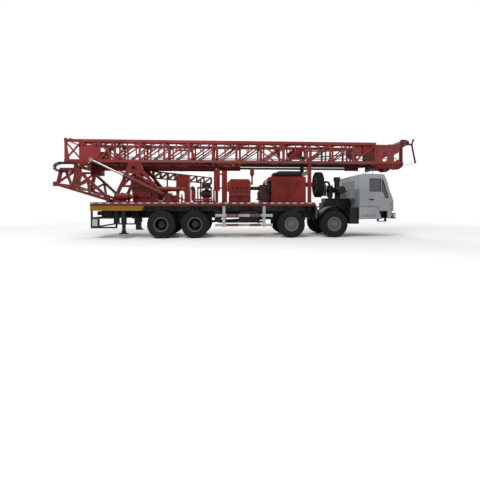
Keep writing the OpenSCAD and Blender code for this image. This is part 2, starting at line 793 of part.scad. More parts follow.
module deck_engine() at_origin() color("#8a2723") {
    block([4060, 4480], [-600, 300], [deck_z, 2220]);
    block([4480, 5800], [-380, 380], [deck_z + 60, 2300]);
    rod_x(-600 + 150, 2070, 45, 3630 + seat_gap, 4070);
    rod_x(-450, 2070, 90, 3980, 4070);
    translate([4440, 0, 2040]) rotate([90, 0, 0]) rotate_extrude()
        polygon([[0, 590], [40, 590], [40, 640], [132, 640], [140, 650], [126, 672], [140, 694],
                 [132, 704], [110, 704], [100, 680], [50, 680], [45, 715], [0, 715]]);
    for (y = [-520, -330, -140]) rod_z(4025, y, 52, 1640, 1880);
    block([3985, 4065], [-560, -80], [1880, 1940]);
    for (y = [-480, 60]) rod_x(y, 1600, 34, 3960, 4070);
    rod_z(4250, -420, 60, 2210, 2300);
    rod_y(4400, 2300, 45, -690, -500);
    block([4380, 4420], [-620, -560], [2210, 2290]);
    rod_y(4440, 1640, 70, -690, -640);
    rod_y(4440, 1640, 25, -650, -590);
}

hood_x = [4500, 5980];
hood_y = half_w - 370;
hood_z = 2550;
hood_t = 30;
leaf_z = [1520, 2480];
leaf_x = [hood_x[0] + 60, hood_x[1] - 60];
leaf_mid = (leaf_x[0] + leaf_x[1]) / 2;

leaf_gap = 5;
leaf_pin_r = 5;
leaf_hinge_z = [1640, 2300];

module enclosure() at_origin() color("#a3322c") {
    difference() {
        block(hood_x, [-hood_y, hood_y], [deck_z, hood_z]);
        block([hood_x[0] - 1, hood_x[1] - hood_t], [-hood_y + hood_t, hood_y - hood_t],
              [deck_z - 1, hood_z - hood_t]);
        block(leaf_x, [-hood_y - 1, -hood_y + hood_t + 1], leaf_z);
    }
    plate_xz(-hood_y + 20, hood_y - 20)
        polygon([[hood_x[0] - 160, 2360], [hood_x[0] + 10, 2360], [hood_x[0] + 10, hood_z - 10],
                 [hood_x[0] - 80, hood_z - 10], [hood_x[0] - 160, hood_z - 90]]);
    for (z = leaf_hinge_z) {
        hinge_lugs(leaf_x[0] + leaf_gap / 2, -hood_y, z, 1, leaf_pin_r);
        hinge_lugs(leaf_x[1] - leaf_gap / 2, -hood_y, z, -1, leaf_pin_r);
    }
}

// One leaf of the enclosure's doors: dir is 1 for the rear one, hinged at its rear edge
module enclosure_leaf(dir) at_origin() color("#a3322c") {
    edge = dir > 0 ? leaf_x[0] + leaf_gap : leaf_x[1] - leaf_gap;
    free = leaf_mid - dir * leaf_gap / 2;
    block([min(edge, free), max(edge, free)], [-hood_y, -hood_y + hood_t],
          [leaf_z[0] + leaf_gap, leaf_z[1] - leaf_gap]);
    for (z = leaf_hinge_z)
        hinge_barrel(edge - dir * leaf_gap / 2, -hood_y, z, dir, leaf_pin_r);
}

silencer_r = 135;
silencer_z = hood_z + 25 + silencer_r;

// Two silencers on the enclosure's roof: saddles, drums, rear cones and pipes down
module silencers() at_origin() color("#1a1a1b") {
    for (y = [-340, 130]) {
        rod_x(y, silencer_z, silencer_r, 4930, 5860);
        for (end = [[4930, -1], [5860, 1]])
            translate([end[0], y, silencer_z]) rotate([0, end[1] * 90, 0])
                cylinder(r1 = silencer_r, r2 = 60, h = end[1] < 0 ? 190 : 70);
        rod_x(y, silencer_z, 60, 4700, 4745);
        rod_z(4700, y, 60, hood_z, silencer_z);
        translate([4700, y, silencer_z]) sphere(r = 60);
        for (x = [5030, 5380, 5720])
            block([x, x + 50], [y - 120, y + 120], [hood_z, silencer_z - 60]);
    }
}

module truck_engine() at_origin() color("#1e1f21") {
    for (x = [7000, 7900]) both_sides() block([x, x + 100], [-rail_y + rail_t, -330], [900, 1000]);
    block([6900, 8150], [-330, 330], [700, 1450]);
    block([7000, 8100], [-300, 300], [1450, 1650]);
    block([6320, 6900], [-200, 200], [700, 1000]);
    air_filter();
}

// Filter drum, its tower and the pipe to the engine
module air_filter() {
    rod_y(7560, 1990, 170, -820, -200);
    block([7440, 7680], [-330, -230], [1450, 1900]);
    rod_z(7480, -420, 110, 2100, 2480);
    rod_z(7480, -420, 145, 2400, 2570);
    rod_z(7170, -400, 130, 1700, 2200);
    block([7140, 7200], [-420, -250], [1640, 1710]);
}

// Cab

cab_nose = 9630;
cab_front = [[9222, 2640], [9360, 2350], [9450, 2000], [9580, 1680], [cab_nose, 1500],
             [cab_nose, cab_z0]];
cab_roof_z = 2670;
door_x = [8540, 9550];
screen_z = [1800, 2500];
screen_y = 1080;
door_pin_r = 8;
door_hinge_z = [1190, 1400];
rear_window_y = 700;
rear_window_z = [1950, 2400];

module cab_outline(inset)
    offset(delta = -inset)
        polygon(concat([[cab_x0, cab_z0], [cab_x0, 2620], [cab_x0 + 180, cab_roof_z]], cab_front));

// Door opening, drawn in by a gap for the leaf itself
module door_outline(gap)
    offset(delta = -gap)
        polygon([[door_x[0], 1275], [9080, 1275], [9130, 1150], [door_x[1], 1150],
                 [door_x[1], 1500], [9500, 1670], [9375, 1990], [9285, 2330], [9165, 2570],
                 [door_x[0], 2570]]);

module door_windows() {
    polygon([[8600, 1910], [9090, 1910], [9090, 2460], [8600, 2460]]);
    polygon([[9125, 1910], [9190, 1880], [9270, 1640], [9420, 1640], [9365, 1850], [9300, 2020],
             [9225, 2300], [9150, 2460], [9125, 2460]]);
}

module cab_shell() at_origin() color("#d4d6d8") {
    difference() {
        plate_xz(-cab_y, cab_y) cab_outline(0);
        plate_xz(-cab_y + cab_t, cab_y - cab_t) cab_outline(cab_t);
        plate_xz(-cab_y - 1, -cab_y + cab_t + 1) door_outline(0);
        plate_xz(cab_y - cab_t - 1, cab_y + 1) door_outline(0);
        block([9100, 9700], [-screen_y, screen_y], screen_z);
        block([cab_x0 - 1, cab_x0 + cab_t + 1], [-rear_window_y, rear_window_y], rear_window_z);
    }
    both_sides() {
        step_panel();
        for (z = door_hinge_z) hinge_lugs(door_x[1] - door_gap / 2, -cab_y, z, -1, door_pin_r);
        plate_xz(-cab_y, -cab_y + 40)
            polygon([[9370, 800], [9500, 800], [9560, 900], [9560, 1120], [9370, 1120]]);
    }
    for (z = [1300 : 100 : 1800])
        block([cab_x0 - 12, cab_x0 + 1], [-cab_y + 120, cab_y - 120], [z, z + 45]);
    for (z = [1160 : 60 : 1460])
        block([cab_nose - 1, cab_nose + 14], [-850, 850], [z, z + 28]);
    rod_z(9170, -300, 12, cab_roof_z - 36, 2940);
}

module step_panel() plate_xz(-cab_y - 50, -cab_y) difference() {
    polygon([[8140, 760], [8140, 1240], [8170, 1268], [8860, 1268], [8960, 1190], [9090, 760]]);
    for (i = [0 : 5])
        translate([8230 + i * 105, 850])
            polygon([[0, 0], [28, 0], [78, 100], [50, 100]]);
}

module cab_glass() at_origin() color("#20282c") {
    plate_xz(-screen_y, screen_y) intersection() {
        difference() {
            cab_outline(15);
            cab_outline(23);
        }
        translate([9100, screen_z[0]]) square([700, screen_z[1] - screen_z[0]]);
    }
    block([cab_x0 + 15, cab_x0 + 23], [-rear_window_y, rear_window_y], rear_window_z);
}

module cab_interior() at_origin() color("#3a3b3d") {
    floor_z = cab_z0 + cab_t;
    for (y = [-620, 620]) {
        block([8480, 8980], [y - 250, y + 250], [floor_z, floor_z + 450]);
        block([8430, 8560], [y - 250, y + 250], [floor_z + 400, floor_z + 1050]);
    }
    block([9270, 9560], [-1130, 1130], [floor_z, 1480]);
    block([9270, 9440], [-1130, 1130], [1470, 1690]);
}

module cab_door(side) at_origin() color("#d4d6d8") on_side(side) {
    difference() {
        plate_xz(-cab_y, -cab_y + cab_t) door_outline(door_gap);
        plate_xz(-cab_y - 1, -cab_y + cab_t + 1) door_windows();
    }
    for (z = door_hinge_z) hinge_barrel(door_x[1] - door_gap / 2, -cab_y, z, -1, door_pin_r);
}

module front_bumper() at_origin() color("#1d1e20") {
    difference() {
        block([9565, 9700], [-1230, 1230], [780, 1010]);
        both_sides() for (y = [-1010, -790]) rod_x(y, 895, 80, 9680, 9701);
    }
    both_sides() block([rail_x1, 9565], [-rail_y, -rail_y + rail_w], [830, 1000]);
    block([9480, 9600], [-1140, 1140], [1000, cab_z0 - seat_gap]);
    both_sides() step_well();
}

// The open box under a door with its two treads
module step_well() {
    well = [9100, 9355];
    difference() {
        block(well, [-1180, -960], [790, cab_z0 - seat_gap]);
        block([well[0] + 15, well[1] - 15], [-1181, -980], [805, cab_z0 - 20]);
    }
    for (x = [well[0] - 90, well[1] - 30]) block([x, x + 20], [-1150, -990], [660, 800]);
    block([well[0] - 90, well[1] - 10], [-1180, -990], [650, 675]);
    block([well[0] - 90, well[0] + 10], [-1150, -990], [780, 800]);
}

// Mast, lower section

web_y = mast_y - chord_w / 2 - web_t / 2;
mast_step = (mast_x1 - mast_x0) / mast_bays;
// The two rearmost bays' length holds three short bays with crossed braces
tail_posts = [mast_x0, -3370, -2700, mast_x0 + 2 * mast_step];
// The middle one is plated up to here
tail_plate = 3780;
crossed_bay = 8;
mast_kinds = [for (i = [2 : mast_bays - 1]) i == crossed_bay ? "cross" : "split"];
floor_x1 = 7900;

module mast_sides() at_origin() color("#97302b") both_sides() {
    for (z = [mast_z0, mast_z1 - chord_h])
        block([mast_x0, mast_x1], [-mast_y, -mast_y + chord_w], [z, z + chord_h]);
    plate_xz(-web_y - web_t, -web_y) {
        lattice(tail_posts[3], mast_x1, mast_z0 + chord_h, mast_z1 - chord_h, mast_bays - 2,
                post_w, brace_w, mast_kinds);
        mast_tail(mast_z0 + chord_h, mast_z1 - chord_h);
        translate([mast_x0 + (crossed_bay + 1) * mast_step, mast_z1 - chord_h])
            polygon([[-230, 0], [0, 0], [0, -470]]);
    }
    for (lug = [[0, 45], [200, 30]])
        block([mast_x0 + lug[0], mast_x0 + lug[0] + 90], [-mast_y, -mast_y + chord_w],
              [mast_z1 - 1, mast_z1 + lug[1]]);
    difference() {
        plate_xz(-mast_y, -mast_y + chord_w) {
            polygon([[pivot_x - 260, mast_z0 - seat_gap], [pivot_x + 320, mast_z0 - seat_gap],
                     [pivot_x + 100, pivot_z - 40], [pivot_x - 100, pivot_z - 40]]);
            translate([pivot_x, pivot_z]) circle(r = 105);
        }
        rod_y(pivot_x, pivot_z, pivot_r + run_gap, -mast_y - 1, -mast_y + chord_w + 1);
    }
    rod_y(eye_x, eye_z, 110, -lift_y + boss_w / 2 + side_gap, -mast_y - seat_gap);
}

// The three crossed bays over the hinge, with posts that widen downwards
module mast_tail(z0, z1) {
    difference() {
        translate([mast_x0, z0]) square([tail_posts[3] - mast_x0, z1 - z0]);
        for (i = [0 : 2])
            bay_holes(tail_posts[i] + post_w / 2, tail_posts[i + 1] - post_w / 2, z0, z1,
                      brace_w, "cross");
    }
    translate([tail_posts[1], z0]) square([tail_posts[2] - tail_posts[1], tail_plate - z0]);
    polygon([[mast_x0, z0], [mast_x0 + 190, z0], [mast_x0 + 70, z1], [mast_x0, z1]]);
    polygon([[tail_posts[1] - 110, z0], [tail_posts[1], z0], [tail_posts[1], z1]]);
}

module mast_floor() at_origin() color("#97302b") {
    inner = mast_y - chord_w;
    bays = 12;
    translate([0, 0, mast_z0])
        linear_extrude(50)
            lattice(mast_x0, floor_x1, -inner, inner, bays, 70, 55,
                    [for (i = [0 : bays - 1]) i % 2 == 0 ? "rise" : "fall"]);
    translate([0, 0, mast_z1 - 50])
        linear_extrude(50)
            lattice(mast_x0, mast_x1, -inner, inner, mast_bays, 70, 55,
                    [for (i = [0 : mast_bays - 1]) i % 2 == 0 ? "rise" : "fall"]);
}

ext_x0 = -3200;
ext_gland = 120;

module ext_barrel() at_origin() color("#97302b") {
    difference() {
        union() {
            rod_x(0, ext_z, ext_r, ext_x0, 2100);
            rod_x(0, ext_z, 110, 2100, ext_x1);
            for (x = [-700, 600, 2040]) rod_x(0, ext_z, ext_r + 12, x, x + 60);
            block([ext_x0, -2760], [-150, 150], [2620, ext_z - 100]);
        }
        rod_x(0, ext_z, ext_bore_r, ext_x0 + 60, ext_x1 - ext_gland);
        rod_x(0, ext_z, ext_rod_r + run_gap, ext_x1 - ext_gland - 1, ext_x1 + 1);
    }
    for (x = [ext_x0 + 40, -700, 1800])
        block([x, x + 100], [-90, 90], [ext_z + ext_r - 30, mast_z0]);
}

// Mast, upper section

// Two crossed bays at the tail, the lattice, then a plate with openings up to the crown
lattice_x = upper_x1 - upper_bays * upper_step;
plate_x = upper_x1 - 2 * upper_step;

module upper_sides() at_origin() color("#97302b") both_sides() {
    for (z = [upper_z0, upper_z1 - upper_chord])
        block([upper_x0, upper_x1], [-upper_y, -upper_y + upper_chord], [z, z + upper_chord]);
    z0 = upper_z0 + upper_chord;
    z1 = upper_z1 - upper_chord;
    plate_xz(-upper_y + 15, -upper_y + 60) {
        lattice(lattice_x, plate_x, z0, z1, upper_bays - 2, 65, 45,
                [for (i = [3 : upper_bays]) "rise"]);
        difference() {
            translate([upper_x0, z0]) square([lattice_x - upper_x0, z1 - z0]);
            bay_holes(upper_x0 + 65, tail_posts[2] - 32, z0, z1, 45, "cross");
            bay_holes(tail_posts[2] + 32, lattice_x - 32, z0, z1, 45, "cross");
        }
        difference() {
            translate([plate_x, z0]) square([upper_x1 - plate_x, z1 - z0]);
            head_openings();
        }
    }
}

// Holes in the plated end: beside the last diagonal, over it, a slot and two ports
module head_openings() {
    polygon([[8320, 3310], [8320, 3600], [8450, 3500]]);
    polygon([[8400, 3295], [9060, 3295], [9060, 3770], [8560, 3560]]);
    polygon([[9190, 3600], [9310, 3650], [9310, 3700], [9190, 3650]]);
    polygon([[9490, 3330], [9540, 3285], [9650, 3285], [9760, 3420], [9670, 3570], [9660, 3720],
             [9600, 3720], [9490, 3530]]);
    polygon([[10040, 3290], [10110, 3300], [10140, 3360], [10270, 3370], [10280, 3700],
             [10030, 3560]]);
}

// The cradle for the travelling block lies on the posts at both ends of one bay
cradle_x = [upper_x1 - 5 * upper_step, upper_x1 - 4 * upper_step];

module upper_floor() at_origin() color("#97302b") {
    inner = upper_y - upper_chord;
    translate([0, 0, upper_z0]) linear_extrude(50) {
        lattice(lattice_x - upper_step, upper_x1, -inner, inner, upper_bays + 1, 60, 50,
                [for (i = [0 : upper_bays]) i % 2 == 0 ? "rise" : "fall"]);
        translate([upper_x0, -inner]) square([lattice_x - upper_step - upper_x0 + 1, 2 * inner]);
    }
    for (s = sides)
        block(cradle_x, [s * 150 - 25, s * 150 + 25], [upper_z0 + 50, upper_z0 + 90]);
    for (x = [5470, 6020]) block([x, x + 60], [-175, 175], [upper_z0 + 50, 3440]);
    hoop();
}

hoop_mid = [930, 3522];
hoop_r = 278;
hoop_t = 66;

// The bent guard that lies on the floor and turns back under the upper chord
module hoop() plate_xz(-32, 32) {
    difference() {
        translate(hoop_mid) circle(r = hoop_r);
        translate(hoop_mid) circle(r = hoop_r - hoop_t);
        translate(hoop_mid - [2 * hoop_r, hoop_r + 1]) square([2 * hoop_r, 2 * hoop_r + 2]);
    }
    translate([upper_x1 - 10 * upper_step, hoop_mid[1] - hoop_r])
        square([hoop_mid[0] - upper_x1 + 10 * upper_step + 1, hoop_t]);
    translate([330, hoop_mid[1] + hoop_r - hoop_t]) square([hoop_mid[0] - 329, hoop_t]);
}

module ext_rod() at_origin() color("#8d9092") {
    rod_x(0, ext_z, ext_rod_r, ext_x0 + 150, 8010);
    rod_x(0, ext_z, ext_bore_r - 1, ext_x0 + 150, ext_x0 + 250);
    block([8000, 8600], [-70, 70], [ext_z - 75, upper_z0]);
}

module travelling_block() at_origin() color("#8a2723") {
    both_sides() plate_xz(-190, -150)
        polygon([[5390, 3560], [5480, 3440], [5930, 3440], [5990, 3500], [5990, 3760],
                 [5930, 3820], [5560, 3820], [5390, 3720]]);
    plate_xz(-35, 35) difference() {
        translate([6060, 3660]) circle(r = 190);
        translate([6060, 3660]) circle(r = 118);
    }
    rod_y(5760, 3630, 175, -150, 150);
    rod_y(5760, 3630, 50, -210, 210);
    rod_x(0, 3620, 60, 5300, 5500);
    block([5430, 5520], [-160, 160], [3570, 3690]);
}

crown_y = upper_y;

module crown() at_origin() color("#97302b") {
    both_sides()
        plate_xz(-crown_y, -crown_y + 40)
            polygon([[9180, upper_z0], [9180, 2930], [9260, 2905], [9480, 2975], [9830, 2975],
                     [9960, 2905], [10230, 2930], [10400, 3040], [10450, 3160], [10420, 3300],
                     [10420, 3900], [10720, 4060], [10720, 4180], [10560, 4250],
                     [10340, 4250], [upper_x1, 4150], [upper_x1, upper_z0]]);
    rod_y(9980, 3055, 130, -90, 90);
    rod_y(9980, 3055, 40, -crown_y + 20, crown_y - 20);
    block([9200, 9260], [-crown_y + 40, crown_y - 40], [2940, 3020]);
    sloped_plate();
    block([upper_x1, upper_x1 + 60], [-crown_y + 40, crown_y - 40], [3160, 3240]);
    block([upper_x1, upper_x1 + 60], [-crown_y + 40, crown_y - 40], [3960, 4040]);
    rod_y(10500, 4110, 130, -crown_y + 60, crown_y - 60);
    rod_y(10500, 4110, 45, -crown_y + 20, crown_y - 20);
    rod_y(10390, 3110, 90, -60, 60);
    rod_y(10390, 3110, 35, -crown_y + 20, crown_y - 20);
    block([10690, 11190], [-60, 60], [4120, 4180]);
    rod_y(10705, 4150, 30, -crown_y + 20, crown_y - 20);
    link([11160, 4160], [11240, 4340], 32, 0);
    link([11160, 4160], [fork_ball_x, 3330], 36, 0);
    for (p = [[11240, 4350], [fork_ball_x, 3330]])
        translate([p[0], 0, p[1]]) sphere(r = fork_ball_r);
}

// The plate that guides the lines down to the crown's lower sheave
module sloped_plate() {
    low = upper_z0 + 50 + seat_gap;
    side = upper_y - 60 - seat_gap;
    run_x(8960, 9580) polygon([[-230, low], [-205, low], [side, 3790], [side, 3812]]);
}

// Lifting cylinders, drawn along their own axis from the foot

module along_lift(side) at_origin() on_side(side)
    translate([lift_x, -lift_y, lift_z]) rotate([0, -lift_angle, 0]) children();

lift_neck = 190;

module lift_barrel(side) color("#a3322c") along_lift(side) difference() {
    union() {
        rod_x(0, 0, 42, 0, lift_neck + 1);
        rod_x(0, 0, lift_r, lift_neck, lift_len);
        rod_x(0, 0, lift_r + 8, lift_len - 60, lift_len);
        rod_y(0, 0, lift_pin_r + 35, -boss_w / 2, boss_w / 2);
    }
    rod_y(0, 0, lift_pin_r + run_gap, -boss_w / 2 - 1, boss_w / 2 + 1);
    rod_x(0, 0, lift_rod_r + run_gap, lift_neck + 50, lift_len + 1);
}

module lift_rod(side) color("#c3c6c8") along_lift(side) {
    rod_x(0, 0, lift_rod_r, lift_neck + 60, lift_reach - 50);
    rod_y(lift_reach, 0, 85, -boss_w / 2, boss_w / 2);
}

chassis_frame();
deck();
side_boxes();
rear_bumper();
outriggers();
outrigger_leg(-1);  // outrigger_leg_right
outrigger_leg(1);  // outrigger_leg_left
side_guards();
tanks();
axles();
mudguards();
knuckle(0, -1);  // knuckle_1_right
knuckle(0, 1);  // knuckle_1_left
knuckle(1, -1);  // knuckle_2_right
knuckle(1, 1);  // knuckle_2_left
front_wheel(0, -1);  // wheel_1_right
front_wheel(0, 1);  // wheel_1_left
front_wheel(1, -1);  // wheel_2_right
front_wheel(1, 1);  // wheel_2_left
rear_wheel(2, -1);  // wheel_3_right
rear_wheel(2, 1);  // wheel_3_left
rear_wheel(3, -1);  // wheel_4_right
rear_wheel(3, 1);  // wheel_4_left
base_frame();
a_frame();
front_support();
spare_wheel();
drawworks_frame();
drawworks_drum();
service_winch();
drive_case();
hydraulic_tank();
platform();
pump_unit();
column();
gearbox();
deck_engine();
enclosure();
enclosure_leaf(1);  // enclosure_door_rear
enclosure_leaf(-1);  // enclosure_door_front
silencers();
truck_engine();
cab_shell();
cab_glass();
cab_interior();
cab_door(-1);  // cab_door_right
cab_door(1);  // cab_door_left
front_bumper();
mast_sides();
mast_floor();
ext_barrel();
upper_sides();
upper_floor();
crown();
ext_rod();
travelling_block();
lift_barrel(-1);  // lift_barrel_right
lift_barrel(1);  // lift_barrel_left
lift_rod(-1);  // lift_rod_right
lift_rod(1);  // lift_rod_left
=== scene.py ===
# %% [markdown]
# This lesson dresses a workover rig: a truck that carries a folded mast, the
# winch that works it and the engine that drives both. The shapes that carry
# load come from the CAD frame and stay where they are. What we add here is
# everything that the eye reads as age and use: enamel, rubber, glass, rope.

# %% Load the frame
import math

import bmesh
import bpy
from mathutils import Matrix, Vector


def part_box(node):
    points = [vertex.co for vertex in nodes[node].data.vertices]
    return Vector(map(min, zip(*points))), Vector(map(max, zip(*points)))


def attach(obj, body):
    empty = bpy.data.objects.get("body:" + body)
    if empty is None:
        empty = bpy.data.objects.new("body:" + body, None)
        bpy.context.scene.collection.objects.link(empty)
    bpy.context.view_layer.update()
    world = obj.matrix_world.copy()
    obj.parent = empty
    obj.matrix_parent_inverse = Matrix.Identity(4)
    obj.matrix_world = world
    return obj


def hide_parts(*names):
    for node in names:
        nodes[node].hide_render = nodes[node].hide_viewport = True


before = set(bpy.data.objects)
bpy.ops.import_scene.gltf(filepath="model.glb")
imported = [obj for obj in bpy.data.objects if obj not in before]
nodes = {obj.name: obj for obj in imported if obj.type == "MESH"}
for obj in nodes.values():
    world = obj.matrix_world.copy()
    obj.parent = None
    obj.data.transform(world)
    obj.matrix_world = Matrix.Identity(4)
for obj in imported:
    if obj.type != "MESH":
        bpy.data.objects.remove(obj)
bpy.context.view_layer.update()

# %% [markdown]
# The photograph was taken from the truck's right, at eye height, a little
# behind the middle. We put the camera at that spot with the same lens, and
# shift the picture instead of tilting the camera, so that posts stay upright.

# %% The camera
scene = bpy.context.scene
scene.view_settings.view_transform = "Standard"

CAMERA_PLACE = Vector((-0.69, -13.5, 1.33))
CAMERA_TURN = math.radians(-3.29)
LENS = 22.6
PICTURE_SHIFT = (-0.0165, -0.072)

lens = bpy.data.cameras.new("camera")
lens.lens = LENS
lens.shift_x, lens.shift_y = PICTURE_SHIFT
camera = bpy.data.objects.new("camera", lens)
camera.location = CAMERA_PLACE
camera.rotation_euler = (math.pi / 2, 0, CAMERA_TURN)
scene.collection.objects.link(camera)
scene.camera = camera
print("camera made")

# %% [markdown]
# A colour is written the way a paint chart gives it, as sRGB hex. Blender's
# sockets hold linear light, so one function turns one into the other. A second
# small function adds a shader node with its settings and links in one line. It
# is enough for every material here, because a node can be fed by another node.

# %% Colours and nodes
# The mix node keeps a set of sockets for each data type. These are the colour ones
MIX_FACTOR, MIX_FIRST, MIX_SECOND = 0, 6, 7


def paint_chart(code):
    """Turns an sRGB hex colour into the linear values of a colour socket."""
    parts = [int(code[i:i + 2], 16) / 255 for i in (1, 3, 5)]
    return [v / 12.92 if v <= 0.04045 else ((v + 0.055) / 1.055) ** 2.4 for v in parts] + [1.0]


def add(tree, kind, inputs=(), **settings):
    """Adds one node. An input is a number, a hex colour, or the node or socket that feeds it."""
    made = tree.nodes.new("ShaderNode" + kind)
    for name, value in settings.items():
        setattr(made, name, value)
    for socket, value in dict(inputs).items():
        if isinstance(value, bpy.types.Node):
            value = next(output for output in value.outputs if output.enabled)
        if isinstance(value, bpy.types.NodeSocket):
            tree.links.new(value, made.inputs[socket])
        else:
            is_colour = isinstance(value, str)
            made.inputs[socket].default_value = paint_chart(value) if is_colour else value
    return made


def new_material(name):
    """An empty node material, and where a point of it lies, in metres."""
    material = bpy.data.materials.new(name)
    material.use_nodes = True
    tree = material.node_tree
    tree.nodes.clear()
    return material, tree, add(tree, "TexCoord").outputs["Object"]


print("paint chart and nodes ready")

# %% [markdown]
# Enamel on a rig is sprayed over plate steel. It is glossy where it is clean,
# flat where dust has settled, and paler where the sun has worked on it. Dust
# lies on faces that look at the sky, in patches about as wide as a hand.

# %% Dust on enamel
DUST_SIZE = 0.16       # metres across one patch of dust
DUST_COLOUR = "#7d7062"


def settled_dust(tree, where, most):
    """How much dust lies at a point: most of it where the surface looks at the sky."""
    normal = add(tree, "NewGeometry").outputs["Normal"]
    upwards = add(tree, "SeparateXYZ", {0: normal}).outputs["Z"]
    level = add(tree, "MapRange", {"Value": upwards, "From Min": 0.35, "From Max": 0.95})
    grains = add(tree, "TexNoise", {"Vector": where, "Scale": 1 / DUST_SIZE, "Detail": 6.0,
                                    "Roughness": 0.65})
    thick = add(tree, "MapRange", {"Value": grains, "From Min": 0.35, "From Max": 0.75,
                                   "To Min": 0.15, "To Max": most})
    return add(tree, "Math", {0: level, 1: thick}, operation="MULTIPLY")


print("dust ready")

# %% [markdown]
# Three more noises have real sizes too: sun fade over a metre, the orange peel of
# the spray gun over a few millimetres, and the runs that dirty rain leaves, drawn
# out along Z. The dust lies over them and takes the gloss away.

# %% Sprayed enamel
FADE_SIZE = 1.4        # metres across one patch of sun fade
STREAK_SIZE = 0.05     # metres across one run of dirty rain
PEEL_SIZE = 0.012      # drawn coarser than the real 2 mm, so that it shows


def enamel(name, colour, shade, rough=0.34, dusty=0.5, streaky=0.4, shine=0.22):
    """Sprayed enamel. Shade is the same paint where it has gone dark with oil."""
    material, tree, where = new_material(name)
    fade = add(tree, "TexNoise", {"Vector": where, "Scale": 1 / FADE_SIZE, "Detail": 4.0})
    sun = add(tree, "MapRange", {"Value": fade, "From Min": 0.35, "From Max": 0.7})
    paint = add(tree, "Mix", {MIX_FACTOR: sun, MIX_FIRST: shade, MIX_SECOND: colour},
                data_type="RGBA")
    drawn_out = add(tree, "Mapping", {"Vector": where, "Scale": (1.0, 1.0, 0.12)})
    runs = add(tree, "TexNoise", {"Vector": drawn_out, "Scale": 1 / STREAK_SIZE, "Detail": 4.0,
                                  "Roughness": 0.6})
    dirt = add(tree, "MapRange", {"Value": runs, "From Min": 0.56, "From Max": 0.74,
                                  "To Max": streaky})
    streaked = add(tree, "Mix", {MIX_FACTOR: dirt, MIX_FIRST: paint, MIX_SECOND: shade},
                   data_type="RGBA")
    dust = settled_dust(tree, where, dusty)
    coated = add(tree, "Mix", {MIX_FACTOR: dust, MIX_FIRST: streaked, MIX_SECOND: DUST_COLOUR},
                 data_type="RGBA")
    flat = add(tree, "MapRange", {"Value": dust, "From Max": 0.6, "To Min": rough, "To Max": 0.8})
    orange_peel = add(tree, "TexNoise", {"Vector": where, "Scale": 1 / PEEL_SIZE, "Detail": 2.0})
    bumps = add(tree, "Bump", {"Height": orange_peel, "Strength": 0.12, "Distance": 0.002})
    shader = add(tree, "BsdfPrincipled", {"Base Color": coated, "Roughness": flat,
                                          "Specular IOR Level": shine, "Normal": bumps})
    add(tree, "OutputMaterial", {"Surface": shader})
    return material


print("enamel ready")

# %% [markdown]
# Each group of plates on the rig was sprayed at its own time and has faded in
# its own way, so each gets its own two reds. Roughness, dust, streaks and shine
# say how it lives: a silencer is dull, a cab is washed, a deck is walked on.

# %% The paints of the rig
mast_red = enamel("mast_enamel_red", "#802925", "#611c1a", rough=0.38)
frame_red = enamel("frame_enamel_red", "#6f1f1b", "#541512", rough=0.36)
crown_red = enamel("crown_enamel_red", "#611511", "#42100f", rough=0.45, streaky=0.5, shine=0.12)
machine_red = enamel("machine_enamel_red", "#781e19", "#591310", rough=0.3, shine=0.18)
belly_red = enamel("cylinder_enamel_red", "#5e1917", "#471110", rough=0.34, shine=0.18)
engine_red = enamel("engine_enamel_dark_red", "#43191a", "#2a1213", rough=0.5, streaky=0.8)
deck_red = enamel("deck_enamel_red", "#5b1f1d", "#421514", dusty=0.75)
box_yellow = enamel("locker_enamel_yellow", "#835d0b", "#684808")
cab_white = enamel("cab_enamel_grey_white", "#8a8d92", "#777a80", rough=0.25, streaky=0.15,
                   dusty=0.3, shine=0.4)
guard_white = enamel("guard_enamel_white", "#9a9a9c", "#7f7f80")
frame_black = enamel("chassis_enamel_black", "#121213", "#0b0b0c", rough=0.5, dusty=0.3)
heat_black = enamel("silencer_enamel_black", "#1d181a", "#110f10", rough=0.6, dusty=0.3)
# The cast black also makes the discs of painted shade in the bores of the gear case.
cast_black_and_bore_shade = enamel("axle_cast_iron_black_and_bore_shade", "#171717", "#0e0e0e", rough=0.62, dusty=0.5)
rim_silver = enamel("front_rim_enamel_silver", "#54565a", "#3c3d40", rough=0.4, dusty=0.3)
rim_black = enamel("rear_rim_enamel_black", "#181717", "#0f0e0e", rough=0.5, dusty=0.3)
rim_edge_grey = enamel("rim_edge_enamel_grey", "#62605f", "#4b4948", rough=0.45, dusty=0.3)
print("enamels made")

# %% [markdown]
# Tyre rubber is black with a grey bloom. Mud clings to the tread and the lower
# wall, in patches about as wide as a finger, and it takes the last gloss away.
# Natural rubber reflects about as plastic does, so its IOR stays near 1.5. The
# same recipe serves hoses, seals and the moulded vinyl of the cab.

# %% Rubber and vinyl
MUD_SIZE = 0.035       # metres across one patch of mud


def rubber(name, colour, mud, muddy=0.5, rough=0.78):
    """Vulcanised rubber with dried mud on it."""
    material, tree, where = new_material(name)
    patches = add(tree, "TexNoise", {"Vector": where, "Scale": 1 / MUD_SIZE, "Detail": 7.0,
                                     "Roughness": 0.7})
    dried = add(tree, "MapRange", {"Value": patches, "From Min": 0.45, "From Max": 0.75,
                                   "To Max": muddy})
    tint = add(tree, "Mix", {MIX_FACTOR: dried, MIX_FIRST: colour, MIX_SECOND: mud},
               data_type="RGBA")
    grit = add(tree, "Bump", {"Height": patches, "Strength": 0.25, "Distance": 0.003})
    shader = add(tree, "BsdfPrincipled", {"Base Color": tint, "Roughness": rough, "IOR": 1.5,
                                          "Specular IOR Level": 0.2, "Normal": grit})
    add(tree, "OutputMaterial", {"Surface": shader})
    return material


tyre_rubber = rubber("tyre_rubber", "#0d0c0c", "#2f2b27", 0.4)
seal_rubber = rubber("window_seal_rubber", "#161617", "#2c2a28", 0.3, 0.6)
hose_rubber = rubber("hydraulic_hose_rubber", "#171717", "#3a342e", 0.35, 0.55)
trim_vinyl = rubber("cab_trim_vinyl", "#3b3a3b", "#4c4a48", 0.3, 0.65)
print("rubbers made")

